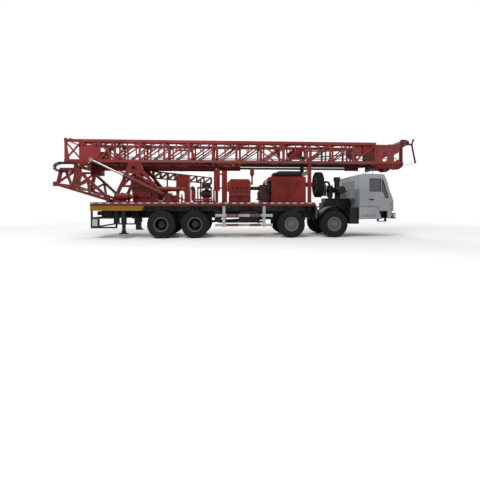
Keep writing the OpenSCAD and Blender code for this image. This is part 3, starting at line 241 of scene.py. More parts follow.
# %% [markdown]
# Bare metal shows how it was made. A rod that was turned and chromed keeps fine
# marks, wire rope is coarse and greasy, and zinc on a bolt goes dull in patches.
# A metal's colour is the colour of its reflection, so Metallic is one.

# %% Bare metal
WORN_SIZE = 0.09       # metres across one dull patch


def metal(name, colour, rough, scratch_size=0.004, worn="#6f6a64", wear=0.35):
    """Bare metal with fine turning marks and dull patches."""
    material, tree, where = new_material(name)
    patches = add(tree, "TexNoise", {"Vector": where, "Scale": 1 / WORN_SIZE, "Detail": 5.0,
                                     "Roughness": 0.6})
    dull = add(tree, "MapRange", {"Value": patches, "From Min": 0.5, "From Max": 0.8,
                                  "To Max": wear})
    tint = add(tree, "Mix", {MIX_FACTOR: dull, MIX_FIRST: colour, MIX_SECOND: worn},
               data_type="RGBA")
    flat = add(tree, "MapRange", {"Value": dull, "From Max": 0.5, "To Min": rough, "To Max": 0.6})
    scratches = add(tree, "TexNoise", {"Vector": where, "Scale": 1 / scratch_size, "Detail": 2.0})
    marks = add(tree, "Bump", {"Height": scratches, "Strength": 0.08, "Distance": 0.001})
    shader = add(tree, "BsdfPrincipled", {"Base Color": tint, "Metallic": 1.0,
                                          "Roughness": flat, "Normal": marks})
    add(tree, "OutputMaterial", {"Surface": shader})
    return material


rod_chrome = metal("hard_chrome_rod", "#8d8784", 0.3)
wire_rope = metal("galvanised_wire_rope", "#6f6c69", 0.5, 0.01)
oily_rope = metal("greased_wire_rope", "#3a3431", 0.55, 0.01, worn="#1d1a18", wear=0.6)
bolt_steel = metal("zinc_plated_bolt", "#77736e", 0.45)
print("metals made")

# %% [markdown]
# The cab's glass is toughened and tinted grey. Road dirt leaves a film on it,
# which shows in the gloss and not in the colour, so it only feeds the roughness.

# %% Window glass
FILM_SIZE = 0.25       # metres across one patch of film


def window_glass(name, tint, clear):
    """Toughened glass. Clear is the share of light it lets through."""
    material, tree, where = new_material(name)
    film = add(tree, "TexNoise", {"Vector": where, "Scale": 1 / FILM_SIZE, "Detail": 5.0,
                                  "Roughness": 0.6})
    greasy = add(tree, "MapRange", {"Value": film, "From Min": 0.4, "From Max": 0.8,
                                    "To Min": 0.02, "To Max": 0.16})
    shader = add(tree, "BsdfPrincipled", {"Base Color": tint, "Transmission Weight": clear,
                                          "IOR": 1.5, "Roughness": greasy})
    add(tree, "OutputMaterial", {"Surface": shader})
    return material


cab_window = window_glass("cab_window_glass", "#5b5f60", 0.6)
print("glass made")

# %% [markdown]
# The frame's nodes already have the right shape. Each gets the finish of the
# real piece by its own material slot, and its mesh is not touched. A small
# table says which nodes share one finish.

# %% Finish the frame's own nodes
def both(*stems):
    """The names of the right and the left node of each stem."""
    return [f"{stem}_{side}" for stem in stems for side in ("right", "left")]


FINISHES = [
    (frame_black, ["chassis_frame", "rear_bumper", "outriggers", "mudguards", "tanks",
                   "front_bumper", "truck_engine"]),
    (heat_black, ["silencers"]),
    (cast_black_and_bore_shade, ["axles", *both("knuckle_1", "knuckle_2", "outrigger_leg")]),
    (deck_red, ["deck"]),
    (box_yellow, ["side_boxes"]),
    (guard_white, ["side_guards"]),
    (cab_white, ["cab_shell", *both("cab_door")]),
    (cab_window, ["cab_glass"]),
    (trim_vinyl, ["cab_interior"]),
    (mast_red, ["mast_sides", "mast_floor", "upper_sides", "upper_floor"]),
    (frame_red, ["base_frame", "a_frame", "front_support"]),
    (crown_red, ["crown", "ext_barrel"]),
    (belly_red, ["ext_rod", *both("lift_barrel")]),
    (engine_red, ["deck_engine"]),
    (machine_red, ["drawworks_frame", "drawworks_drum", "service_winch", "drive_case",
                   "hydraulic_tank", "platform", "pump_unit", "column", "gearbox",
                   "enclosure", "enclosure_door_rear", "enclosure_door_front",
                   "travelling_block"]),
    (rod_chrome, both("lift_rod")),
    (tyre_rubber, ["spare_wheel", *both("wheel_1", "wheel_2", "wheel_3", "wheel_4")]),
]
for finish, names in FINISHES:
    for name in names:
        slots = nodes[name].data.materials
        slots.clear()
        slots.append(finish)
print(sum(len(names) for _, names in FINISHES), "of", len(nodes), "nodes finished")

# %% [markdown]
# The pieces that follow are small solids made with bmesh operators. No edge of
# real plate is sharp, so a block has its edges broken by a small bevel. A rod is
# given by its two ends, which is how a drawing gives it.

# %% Blocks and rods
REAR_AXLE_X = sum(corner.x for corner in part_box("wheel_4_right")) / 2
SIDES = (("right", -1), ("left", 1))
AXES = {"X": Vector((1, 0, 0)), "Y": Vector((0, 1, 0)), "Z": Vector((0, 0, 1))}


def at(x, y, z):
    """A place measured from the rearmost axle, as on a workshop drawing."""
    return Vector((x + REAR_AXLE_X, y, z))


def bar(shape, corner, opposite, soft=0.004):
    """A block between two corners, with its edges broken by a small bevel."""
    low = Vector(map(min, corner, opposite))
    size = Vector(map(max, corner, opposite)) - low
    place = Matrix.Translation(low + size / 2) @ Matrix.Diagonal((*size, 1.0))
    made = bmesh.ops.create_cube(shape, size=1.0, matrix=place)
    edges = list({edge for vert in made["verts"] for edge in vert.link_edges})
    bmesh.ops.bevel(shape, geom=edges, offset=min(soft, min(size) * 0.3), offset_type="OFFSET",
                    segments=2, profile=0.5, affect="EDGES", material=-1)


def facing(place, along):
    """A matrix that stands something up at a place, with its Z along a direction."""
    return Matrix.Translation(place) @ along.to_track_quat("Z", "Y").to_matrix().to_4x4()


def bar_pair(shape, corner, opposite, soft=0.004):
    """The same block on the left and the right. The corners are those on the left."""
    for _, out in SIDES:
        flip = Vector((1, out, 1))
        bar(shape, corner * flip, opposite * flip, soft)


def rod(shape, start, end, radius, sides=16):
    """A round rod between two points. With six sides it is a hexagon bar."""
    along = end - start
    bmesh.ops.create_cone(shape, cap_ends=True, segments=sides, radius1=radius, radius2=radius,
                          depth=along.length, matrix=facing((start + end) / 2, along))


print("rearmost axle at X", round(REAR_AXLE_X, 3))

# %% [markdown]
# Wheels, flanges and hoses are one section moved along a path. A turned part
# spins its section round an axle. A tube puts a circle at each point of a row,
# square to the way ahead, and bridges each pair of circles.

# %% Turned parts and tubes
def mirrored(half):
    """A whole section from one half of it, mirrored in the plane across the axle."""
    return half + [(radius, -reach) for radius, reach in reversed(half)]


def turned(shape, section, place, axis, steps):
    """Spins a closed section, given as pairs of radius and distance along the axle."""
    along = AXES[axis]
    out = AXES["X"] if axis == "Z" else AXES["Z"]
    verts = [shape.verts.new(place + out * radius + along * reach) for radius, reach in section]
    edges = [shape.edges.new(pair) for pair in zip(verts, verts[1:] + verts[:1])]
    bmesh.ops.spin(shape, geom=verts + edges, cent=place, axis=along, angle=2 * math.pi,
                   steps=steps, use_merge=True)


def tube(shape, spots, radius, sides=8):
    """A round tube along a row of points, closed at both ends."""
    rings = []
    for k, spot in enumerate(spots):
        ahead = spots[min(k + 1, len(spots) - 1)] - spots[max(k - 1, 0)]
        made = bmesh.ops.create_circle(shape, cap_ends=k in (0, len(spots) - 1), segments=sides,
                                       radius=radius, matrix=facing(spot, ahead))
        rings.append(list({edge for vert in made["verts"] for edge in vert.link_edges
                           if all(other in made["verts"] for other in edge.verts)}))
    for near, far in zip(rings, rings[1:]):
        bmesh.ops.bridge_loops(shape, edges=near + far)


print("turning and tube tools ready")

# %% [markdown]
# Bolts sit in rows and rings, on faces that look to the right or to the left.
# Each finished shape becomes a piece: it gets a name, smooth shading with sharp
# creases, one material and the body of the frame that it moves with.

# %% Bolts, rings and pieces
def bolt_heads(shape, places, out, across=0.03, height=0.012):
    """Hexagon heads on washers. Out is -1 where the face looks right, or 1."""
    for place in places:
        rod(shape, place - Vector((0, out * 0.002, 0)), place + Vector((0, out * 0.003, 0)),
            across * 0.62, 12)
        rod(shape, place, place + Vector((0, out * height, 0)), across * 0.5, 6)


def ring_of(middle, radius, count, axis="Y", start=0.0):
    """Places on a circle round a middle, in the plane across an axis."""
    places = []
    for k in range(count):
        turn = start + k * math.tau / count
        a, b = radius * math.cos(turn), radius * math.sin(turn)
        places.append(middle + (Vector((a, 0, b)) if axis == "Y" else Vector((0, a, b))))
    return places


def piece(name, shape, finish, body="root", stands_for=(), crease=35.0):
    """Names a finished shape, shades it and lets it move with a body of the frame."""
    bmesh.ops.remove_doubles(shape, verts=shape.verts, dist=1e-6)
    bmesh.ops.recalc_face_normals(shape, faces=shape.faces)
    mesh = bpy.data.meshes.new(name)
    shape.to_mesh(mesh)
    shape.free()
    mesh.shade_smooth()
    mesh.set_sharp_from_angle(angle=math.radians(crease))
    mesh.materials.append(finish)
    made = bpy.data.objects.new(name, mesh)
    scene.collection.objects.link(made)
    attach(made, body)
    if stands_for:
        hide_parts(*stands_for)
    print(name, len(mesh.polygons), "faces")
    return made


print("tools ready")

# %% [markdown]
# A truck tyre is a carcass with a moulded tread. We draw half of the carcass
# from the rim to the shoulder, mirror it, and spin it round the axle in as many
# steps as the tread has edges. The faces that will be ribs or blocks are then
# pushed out by the depth of the tread. Steering tyres have ribs that run round,
# and drive tyres have ribs cut across into blocks for grip on mud.

# %% Carcass and tread
TYRE_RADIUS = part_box("wheel_1_right")[1].z / 2
TREAD_DEPTH = 0.015
TREAD_STEPS = 104
CARCASS = [(0.2545, 0.104), (0.266, 0.1135), (0.282, 0.1145), (0.2865, 0.122), (0.298, 0.134),
           (0.307, 0.137), (0.330, 0.1455), (0.385, 0.150), (0.425, 0.149), (0.470, 0.1455),
           (0.478, 0.1465), (0.500, 0.1405), (0.528, 0.133), (0.541, 0.125)]
RIB_EDGES = [0.117, 0.080, 0.069, 0.036, 0.025]
ALL_EDGES = RIB_EDGES + [-edge for edge in reversed(RIB_EDGES)]
RIBS = list(zip(ALL_EDGES[::2], ALL_EDGES[1::2]))


def tyre_shape(shape, middle, blocks):
    """One tyre on a Y axle. Blocks says whether the ribs are cut across."""
    base = TYRE_RADIUS - TREAD_DEPTH
    before = set(shape.faces)
    half = CARCASS + [(base, edge) for edge in RIB_EDGES]
    turned(shape, mirrored(half), middle, "Y", TREAD_STEPS)
    raised = []
    for face in set(shape.faces) - before:
        spot = face.calc_center_median() - middle
        if math.hypot(spot.x, spot.z) < base - 0.004:
            continue  # a face of the side wall
        rib = next((i for i, (a, b) in enumerate(RIBS) if b < spot.y < a), None)
        step = math.floor((math.atan2(spot.z, spot.x) / math.tau + 1) * TREAD_STEPS)
        if rib is not None and not (blocks and (step + (2 if rib % 2 else 0)) % 4 == 0):
            raised.append(face)
    made = bmesh.ops.extrude_face_region(shape, geom=raised)
    tops = [item for item in made["geom"] if isinstance(item, bmesh.types.BMVert)]
    bmesh.ops.delete(shape, geom=[face for face in raised if face.is_valid], context="FACES")
    grown = TYRE_RADIUS / base
    bmesh.ops.scale(shape, vec=(grown, 1.0, grown), space=Matrix.Translation(-middle), verts=tops)


print(len(RIBS), "ribs,", TREAD_STEPS, "steps round the tread")

# %% [markdown]
# The two front axles steer and carry one tyre on each side. The two behind them
# carry twins. The tyres of one wheel are one piece, and it turns with the wheel.

# %% Tyres of the eight wheels
TYRE_HALF = 0.150      # half the width of a tyre
FRONT_TYRE_Y = 1.080   # how far the middle of a steered tyre is from the truck's middle
WHEELS = [(number, side, out) for number in (1, 2, 3, 4) for side, out in SIDES]

for number, side, out in WHEELS:
    steered = number < 3
    low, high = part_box(f"wheel_{number}_{side}")
    middle = (low + high) / 2
    shape = bmesh.new()
    twins = low.y + TYRE_HALF, high.y - TYRE_HALF
    for y in (out * FRONT_TYRE_Y,) if steered else twins:
        tyre_shape(shape, Vector((middle.x, y, middle.z)), not steered)
    piece(f"tyre_{number}_{side}", shape, tyre_rubber, f"wheel_{number}_{side}", crease=28.0)

# %% [markdown]
# The rims already exist in the frame, joined to plain tyres. We copy each
# wheel's mesh, merge its loose triangles, find its separate parts and drop the
# one that reaches furthest out, which is the plain tyre. The rest is the real
# pressed steel wheel with its hand holes.

# %% Wheels without their tyres
TYRE_REACH = 0.45      # only the plain tyre reaches further from the axle


def touching(items, neighbours):
    """Sorts faces or edges into groups that hang together."""
    waiting, groups = set(items), []
    while waiting:
        group, front = [], [waiting.pop()]
        while front:
            item = front.pop()
            group.append(item)
            near = neighbours(item) & waiting
            waiting -= near
            front.extend(near)
        groups.append(group)
    return groups


def faces_beside(face):
    return {other for edge in face.edges for other in edge.link_faces}


def merged_copy(node):
    """A copy of a frame node's mesh, with its loose triangles merged."""
    shape = bmesh.new()
    shape.from_mesh(nodes[node].data)
    bmesh.ops.remove_doubles(shape, verts=shape.verts, dist=1e-5)
    return shape


def bare_wheel(node, middle, axis="Y"):
    """A merged copy of a wheel without its tyres."""
    shape = merged_copy(node)
    for part in touching(shape.faces, faces_beside):
        spots = [vert.co - middle for face in part for vert in face.verts]
        if max(from_axle(spot, axis) for spot in spots) > TYRE_REACH:
            bmesh.ops.delete(shape, geom=part, context="FACES")
    bmesh.ops.dissolve_limit(shape, angle_limit=math.radians(0.5), verts=shape.verts,
                             edges=shape.edges)
    return shape


def from_axle(spot, axis):
    """How far a spot lies from an axle through the origin."""
    return math.hypot(spot.z, spot.x if axis == "Y" else spot.y)


bare = bare_wheel("wheel_1_right", sum(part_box("wheel_1_right"), Vector()) / 2)
print("a bare wheel has", len(bare.faces), "faces")
bare.free()

# %% [markdown]
# A rim has two finishes, and how far a face lies from the axle says which: one
# for the dish, one for the edge that holds the tyre. A small bevel on its sharp
# edges catches the light.

# %% Two finishes on one rim
RIM_EDGE = 0.243


def rim_piece(name, shape, middle, inner, outer, body, stands_for, axis="Y"):
    """A rim with two finishes: one for the dish, one for the edge that holds the tyre."""
    made = piece(name, shape, inner, body, stands_for)
    made.data.materials.append(outer)
    for face in made.data.polygons:
        face.material_index = int(from_axle(face.center - middle, axis) > RIM_EDGE)
    soften = made.modifiers.new("broken edges", "BEVEL")
    soften.width = 0.0025
    soften.segments = 2
    soften.limit_method = "ANGLE"
    soften.angle_limit = math.radians(40)


print("rim tool ready")

# %% [markdown]
# A lip of turned steel closes the gap between rim and tyre. Steering wheels are
# dished outwards and silver, and the twin wheels behind are dished inwards and
# black. Ten nuts hold each, and eight bolts the hub's cap.

# %% Rims, nuts and hub caps
NUTS = 10
CAP_BOLTS = 8
LIP = [(0.262, 0.120), (0.285, 0.119), (0.293, 0.124), (0.2955, 0.132), (0.292, 0.136),
       (0.286, 0.133), (0.280, 0.128), (0.262, 0.127)]
# Places along the axle: the lip's middle, the nuts' face and the cap, then the nuts' circle
FRONT_PLACES = FRONT_TYRE_Y, 1.172, 1.192, 0.1425
REAR_PLACES = 1.095, 0.980, 1.155, 0.133

for number, side, out in WHEELS:
    node = f"wheel_{number}_{side}"
    middle = sum(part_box(node), Vector()) / 2
    steered = number < 3
    lip_y, face_y, cap_y, circle = FRONT_PLACES if steered else REAR_PLACES
    shape = bare_wheel(node, middle)
    turned(shape, [(radius, out * reach) for radius, reach in LIP],
           Vector((middle.x, out * lip_y, middle.z)), "Y", 64)
    rim_piece(f"rim_{number}_{side}", shape, middle, rim_silver if steered else rim_black,
              rim_silver if steered else rim_edge_grey, node, [node])
    shape = bmesh.new()
    nut_face = Vector((middle.x, out * face_y, middle.z))
    for spot in ring_of(nut_face, circle, NUTS, start=math.pi / NUTS):
        rod(shape, spot, spot + Vector((0, out * 0.022, 0)), 0.0175, 6)
        rod(shape, spot, spot + Vector((0, out * 0.036, 0)), 0.010, 10)
    for spot in ring_of(Vector((middle.x, out * cap_y, middle.z)), 0.072, CAP_BOLTS):
        rod(shape, spot - Vector((0, out * 0.03, 0)), spot + Vector((0, out * 0.006, 0)), 0.009, 6)
    piece(f"wheel_nuts_{number}_{side}", shape, bolt_steel, node)

# %% [markdown]
# Through the hand holes of a steering wheel one sees the brake drum, a ribbed
# casting that turns with it. Without it daylight would shine through.

# %% Brake drums
DRUM = [(0.060, 1.146), (0.222, 1.146), (0.224, 1.120), (0.218, 1.115), (0.218, 1.095),
        (0.224, 1.090), (0.224, 1.045), (0.206, 1.030), (0.060, 1.030)]
for number, side, out in WHEELS[:4]:
    node = f"wheel_{number}_{side}"
    middle = sum(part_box(node), Vector()) / 2
    middle.y = 0
    shape = bmesh.new()
    turned(shape, [(radius, out * reach) for radius, reach in DRUM], middle, "Y", 48)
    piece(f"brake_drum_{number}_{side}", shape, cast_black_and_bore_shade, node)

# %% [markdown]
# The spare wheel lies across the deck behind the cab, so its axle runs in X.
# The tyre is made on a Y axle at the same spot and then turned a quarter.

# %% Spare wheel
low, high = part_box("spare_wheel")
spare = Vector((at(6.670, 0, 0).x, (low.y + high.y) / 2, high.z - TYRE_RADIUS))
shape = bmesh.new()
tyre_shape(shape, spare, True)
bmesh.ops.rotate(shape, cent=spare, matrix=Matrix.Rotation(math.pi / 2, 3, "Z"), verts=shape.verts)
piece("spare_tyre", shape, tyre_rubber, "root", crease=28.0)
rim_piece("spare_rim", bare_wheel("spare_wheel", spare, "X"), spare, rim_silver, rim_silver,
          "root", ["spare_wheel"], "X")

# %% [markdown]
# Window glass sits in a rubber seal that grips the edge of the opening. The
# openings are already cut in the doors, so we cut a slice through each door,
# fill the closed loops of the cut that are windows, and use those faces twice:
# inset they give the seal, and what is left inside gives the pane.

# %% Outlines of the door windows
SEAL_WIDTH = 0.024
CUT_Y, SEAL_Y, PANE_Y = 1.175, 1.188, 1.186


def edges_beside(edge):
    return {other for vert in edge.verts for other in vert.link_edges}


def window_loops(node, y):
    """The outlines of a door's windows, where the plane at y cuts the door."""
    shape = merged_copy(node)
    cut = bmesh.ops.bisect_plane(shape, geom=shape.verts[:] + shape.edges[:] + shape.faces[:],
                                 dist=1e-6, plane_co=(0, y, 0), plane_no=(0, 1, 0))
    edges = [item for item in cut["geom_cut"] if isinstance(item, bmesh.types.BMEdge)]
    loops = []
    for loop in touching(edges, edges_beside):
        verts = {vert for edge in loop for vert in edge.verts}
        width = max(v.co.x for v in verts) - min(v.co.x for v in verts)
        height = max(v.co.z for v in verts) - min(v.co.z for v in verts)
        if 0.2 < height < 1.0 and width < 0.8:
            loops.append([[vert.co.copy() for vert in edge.verts] for edge in loop])
    shape.free()
    return loops


print("a door has", len(window_loops("cab_door_right", -CUT_Y)), "window loops")

# %% [markdown]
# One loop gives both parts. Its face is inset by the width of the seal, the part
# that isn't wanted is deleted, and what is left gets its thickness.

# %% Seals and panes of the doors
def window_part(target, loop, keeps_seal, depth, y):
    """Fills one loop, insets it, and adds either the seal or the pane to a shape."""
    part = bmesh.new()
    for pair in loop:
        part.edges.new([part.verts.new((spot.x, y, spot.z)) for spot in pair])
    bmesh.ops.remove_doubles(part, verts=part.verts, dist=1e-4)
    bmesh.ops.contextual_create(part, geom=part.edges[:])
    bmesh.ops.dissolve_limit(part, angle_limit=math.radians(1), verts=part.verts,
                             edges=part.edges)
    ring = set(bmesh.ops.inset_region(part, faces=part.faces[:], thickness=SEAL_WIDTH,
                                      use_even_offset=True, use_boundary=True)["faces"])
    spare = [face for face in part.faces if (face in ring) != keeps_seal]
    bmesh.ops.delete(part, geom=spare, context="FACES")
    bmesh.ops.solidify(part, geom=part.faces[:], thickness=depth)
    middle = sum(vert.co.y for vert in part.verts) / len(part.verts)
    bmesh.ops.translate(part, vec=(0, y - middle, 0), verts=part.verts)
    mesh = bpy.data.meshes.new("part")
    part.to_mesh(mesh)
    part.free()
    target.from_mesh(mesh)
    bpy.data.meshes.remove(mesh)


for side, out in SIDES:
    node = f"cab_door_{side}"
    seal, pane = bmesh.new(), bmesh.new()
    for loop in window_loops(node, out * CUT_Y):
        window_part(seal, loop, True, 0.034, out * SEAL_Y)
        window_part(pane, loop, False, 0.006, out * PANE_Y)
    piece(f"window_seals_{side}", seal, seal_rubber, node)
    piece(f"window_panes_{side}", pane, cab_window, node)

# %% [markdown]
# The windscreen is one pane in the frame already. It gets two wipers, and each
# door a pull handle in a dished cup and a lock. They are small, but a cab
# without them reads as a toy. Moulded plastic wears like rubber, and a lamp's
# lens is glass of another tint, so the same recipes serve.

# %% Plastic and lenses, wipers and door handles
# The black plastic also fills the slots of the step panels, as painted shade.
black_plastic_and_slot_shade = rubber("moulded_black_plastic", "#19191a", "#2b2927", 0.25, 0.5)
lamp_amber = window_glass("amber_lamp_lens", "#c9701a", 0.35)
lamp_red = window_glass("red_lamp_lens", "#8e1512", 0.35)
lamp_clear = window_glass("clear_lamp_lens", "#cfd3d4", 0.55)
reflector = metal("aluminised_lamp_reflector", "#c8c9ca", 0.12, wear=0.1)

shape = bmesh.new()
for y in (-0.75, 0.25):
    pivot = at(9.590, y, 1.700)
    elbow = at(9.530, y + 0.16, 1.860)
    middle = at(9.478, y + 0.30, 2.020)
    rod(shape, pivot - Vector((0.05, 0, 0.01)), pivot + Vector((0.012, 0, 0.004)), 0.022, 16)
    rod(shape, pivot, elbow, 0.008, 8)
    rod(shape, elbow, middle, 0.006, 8)
    rod(shape, middle + Vector((0.066, 0, -0.22)), middle + Vector((-0.054, 0, 0.22)), 0.009, 8)
piece("windscreen_wipers", shape, black_plastic_and_slot_shade)

for side, out in SIDES:
    shape = bmesh.new()
    bar(shape, at(8.600, out * 1.199, 1.545), at(8.770, out * 1.206, 1.610), 0.003)
    bar(shape, at(8.615, out * 1.206, 1.565), at(8.755, out * 1.222, 1.590), 0.006)
    rod(shape, at(8.800, out * 1.198, 1.577), at(8.800, out * 1.208, 1.577), 0.014, 16)
    piece(f"door_handle_{side}", shape, black_plastic_and_slot_shade, f"cab_door_{side}")

# %% [markdown]
# Under each door the side of the step box has six leaning slots, a seal that
# follows its edge, a marker lamp behind and a clear lamp at the corner. Each slot
# is filled up to its mouth with a black block, which is painted shade for its
# dark inside.

# %% Step panels and their lamps
SLOTS = 6
SLOT_PITCH = 0.105
SLOT_LEAN = Matrix(((1, 0, 0.5, 0), (0, 1, 0, 0), (0, 0, 1, 0), (0, 0, 0, 1)))
SEAL_ROUTE = ((8.146, 1.243), (8.172, 1.269), (8.500, 1.270), (8.862, 1.269), (8.964, 1.190),
              (9.030, 0.975), (9.092, 0.762))

slot_shade_fills, seals = bmesh.new(), bmesh.new()
for _, out in SIDES:
    for k in range(SLOTS):
        foot = at(8.230 + SLOT_PITCH * k, 0, 0.850)
        before = set(slot_shade_fills.verts)
        # Painted shade: a black block fills the slot up to its mouth.
        bar(slot_shade_fills, foot + Vector((0.001, out * 1.202, 0.001)),
            foot + Vector((0.027, out * 1.244, 0.099)), 0.002)
        bmesh.ops.transform(slot_shade_fills, matrix=SLOT_LEAN, space=Matrix.Translation(-foot),
                            verts=[vert for vert in slot_shade_fills.verts if vert not in before])
    tube(seals, [at(x, out * 1.2385, z) for x, z in SEAL_ROUTE], 0.010)
piece("step_panel_slot_shade", slot_shade_fills, black_plastic_and_slot_shade)
piece("step_panel_seals", seals, seal_rubber)

for side, out in SIDES:
    shape = bmesh.new()
    bar(shape, at(8.215, out * 1.2405, 1.168), at(8.305, out * 1.2485, 1.205), 0.004)
    piece(f"step_marker_lamp_{side}", shape, lamp_red)
    shape = bmesh.new()
    bar(shape, at(9.585, out * 1.231, 0.840), at(9.680, out * 1.243, 0.975), 0.006)
    piece(f"corner_lamp_{side}", shape, lamp_clear)

# %% [markdown]
# A headlamp is a dished mirror with a lens in front. Both are turned sections.
# The lens stands 4 mm inside the mouth of its recess in the bumper.

# %% Headlamps
def headlamp(name, middle, radius, depth):
    """A mirror bowl and a domed lens on an X axle, facing forwards."""
    bowl = [(0.012, -depth), (radius * 0.5, -depth * 0.88), (radius * 0.82, -depth * 0.5),
            (radius, 0.0), (radius + 0.002, 0.0), (radius * 0.84, -depth * 0.58),
            (radius * 0.5, -depth), (0.012, -depth - 0.002)]
    shape = bmesh.new()
    turned(shape, bowl, middle, "X", 40)
    rod(shape, middle - Vector((depth, 0, 0)), middle - Vector((depth * 0.3, 0, 0)), 0.012, 12)
    piece(f"{name}_reflector", shape, reflector)
    dome = [(0.0005, 0.010), (radius * 0.5, 0.008), (radius * 0.9, 0.003), (radius, -0.001),
            (radius, -0.004), (radius * 0.9, -0.001), (radius * 0.5, 0.004), (0.0005, 0.006)]
    shape = bmesh.new()
    turned(shape, dome, middle, "X", 40)
    piece(f"{name}_lens", shape, lamp_clear)


for side, out in SIDES:
    for number, y in enumerate((1.010, 0.790)):
        headlamp(f"headlamp_{side}_{number}", at(9.688, out * y, 0.895), 0.076, 0.006)

# %% [markdown]
# The tail lamps are clusters in the boxes of the rear guard: an amber, a red
# and a clear lens behind one another on the face that looks back, and a pale
# reflector on the side that the photograph shows.

# %% Tail lamps
LENS_HEIGHT = 0.080
LENSES = (lamp_amber, 0.690), (lamp_red, 0.600), (lamp_clear, 0.510)

for side, out in SIDES:
    for finish, z in LENSES:
        shape = bmesh.new()
        bar(shape, at(-2.700, out * 1.040, z), at(-2.712, out * 1.190, z + LENS_HEIGHT), 0.005)
        piece(f"tail_{finish.name}_{side}", shape, finish)
    shape = bmesh.new()
    bar(shape, at(-2.690, out * 1.204, 0.510), at(-2.490, out * 1.209, 0.775), 0.003)
    piece(f"side_reflector_{side}", shape, guard_white)

# %% [markdown]
# Reflective tape and warning bands are a second colour on the same enamel. Each
# is a mask: a product of limits on where a point lies. Tape in turns comes from
# a number that repeats, the part after the point of X over the pitch.

# %% A second paint by limits
SOIL_COLOUR = "#8d8478"
ABOVE, BELOW = "GREATER_THAN", "LESS_THAN"


def paint_over(material, limits, colour, rough=0.45):
    """Paints over a surface where every limit holds. A limit is a value, a side and a number."""
    tree = material.node_tree
    mask = 1.0
    for value, side, number in limits:
        held = add(tree, "Math", {0: value, 1: number}, operation=side)
        mask = add(tree, "Math", {0: held, 1: mask}, operation="MULTIPLY")
    last = next(node for node in tree.nodes if node.type == "OUTPUT_MATERIAL")
    below = last.inputs["Surface"].links[0].from_socket
    where = add(tree, "TexCoord").outputs["Object"]
    grains = add(tree, "TexNoise", {"Vector": where, "Scale": 1 / DUST_SIZE, "Detail": 5.0,
                                    "Roughness": 0.6})
    soil = add(tree, "MapRange", {"Value": grains, "From Min": 0.4, "From Max": 0.75,
                                  "To Max": 0.35})
    tint = add(tree, "Mix", {MIX_FACTOR: soil, MIX_FIRST: colour, MIX_SECOND: SOIL_COLOUR},
               data_type="RGBA")
    over = add(tree, "BsdfPrincipled", {"Base Color": tint, "Roughness": rough})
    mixed = add(tree, "MixShader", {0: mask, 1: below, 2: over})
    tree.links.new(mixed.outputs[0], last.inputs["Surface"])


print("paint over ready")

# %% [markdown]
# The deck gets its dark underside first, then white and red tape in turns. The
# guards get a dark red band at each end. The limits are taken from the rig.

# %% Where the tape and the bands are
TAPE_PITCH = 0.312
TAPE_WHITE = 0.48      # the share of the pitch that is white
TAPE_LOW, TAPE_HIGH = 1.398, 1.452
DECK_FACE = 1.2495
DECK_INSIDE, DECK_UNDERSIDE = 1.2385, 1.4485
BANDS = ((2.62, 3.11), (3.575, 4.03))

tree = deck_red.node_tree
spot = add(tree, "SeparateXYZ", {0: add(tree, "TexCoord").outputs["Object"]}).outputs
turns = add(tree, "Math", {0: spot["X"], 1: 1 / TAPE_PITCH}, operation="MULTIPLY")
share = add(tree, "Math", {0: turns}, operation="FRACT")
across = add(tree, "Math", {0: spot["Y"]}, operation="ABSOLUTE")
edge = [(across, ABOVE, DECK_FACE), (spot["Z"], ABOVE, TAPE_LOW), (spot["Z"], BELOW, TAPE_HIGH)]
under = [(across, BELOW, DECK_INSIDE), (spot["Z"], BELOW, DECK_UNDERSIDE)]
paint_over(deck_red, under, "#121213", 0.55)
paint_over(deck_red, edge + [(share, BELOW, TAPE_WHITE)], "#958985", 0.3)
paint_over(deck_red, edge + [(share, ABOVE, TAPE_WHITE)], "#5c1210", 0.3)

tree = guard_white.node_tree
along = add(tree, "SeparateXYZ", {0: add(tree, "TexCoord").outputs["Object"]}).outputs["X"]
for low_x, high_x in BANDS:
    limits = [(along, ABOVE, low_x + REAR_AXLE_X), (along, BELOW, high_x + REAR_AXLE_X)]
    paint_over(guard_white, limits, "#4c1014")
print("tape and bands painted")

# %% [markdown]
# Wire rope on a drum lies in grooves, turn beside turn. Seen from a metre away
# the turns are what shows, so the winding is a section with one round bump for
# each turn, spun round the drum. The two small drums of the service winch are
# under a cover each, with a waist in the middle.

# %% Rope on the drum, covers on the service winch
ROPE = 0.029
BUMP_STEPS = 4


def winding(shape, middle, radius, reach, rope):
    """A layer of rope on a drum: half circles side by side, from -reach to reach."""
    turns = round(2 * reach / rope)
    pitch = 2 * reach / turns
    section = [(radius - 0.01, -reach)]
    for k in range(turns):
        for step in range(BUMP_STEPS + 1):
            angle = math.pi * step / BUMP_STEPS
            section.append((radius + math.sin(angle) * rope / 2,
                            -reach + pitch * (k + 0.5 - 0.5 * math.cos(angle) * 0.98)))
    section.append((radius - 0.01, reach))
    turned(shape, section, middle, "Y", 48)


shape = bmesh.new()
winding(shape, at(-0.800, 0, 2.000), 0.2305, 0.449, ROPE)
winding(shape, at(-0.800, -0.1, 2.000), 0.2595, 0.330, ROPE)
piece("rope_on_drum", shape, oily_rope, "drum", crease=60.0)

COVER = mirrored([(0.109, -0.112), (0.136, -0.112), (0.142, -0.104), (0.142, -0.020),
                  (0.134, -0.012)])
shape = bmesh.new()
for x in (-1.755, -1.495):
    turned(shape, COVER, at(x, -0.910, 1.690), "X", 48)
piece("service_winch_covers", shape, machine_red)

# %% [markdown]
# The travelling block hangs in eight lines from the crown. With the mast lying
# down they run along inside it, nearly level, and sag a little between the two
# ends. Each line is a thin tube along a shallow curve. All of them are on the
# upper section, so they stay straight when it slides out.

# %% Lines in the mast
LINE_RADIUS = 0.013


def rope_run(shape, start, end, sag, radius, spans=14, sides=8):
    """A rope that is held at both ends and sags like a shallow arch turned over."""
    steps = [k / spans for k in range(spans + 1)]
    tube(shape, [start.lerp(end, t) - Vector((0, 0, sag * 4 * t * (1 - t))) for t in steps],
         radius, sides)


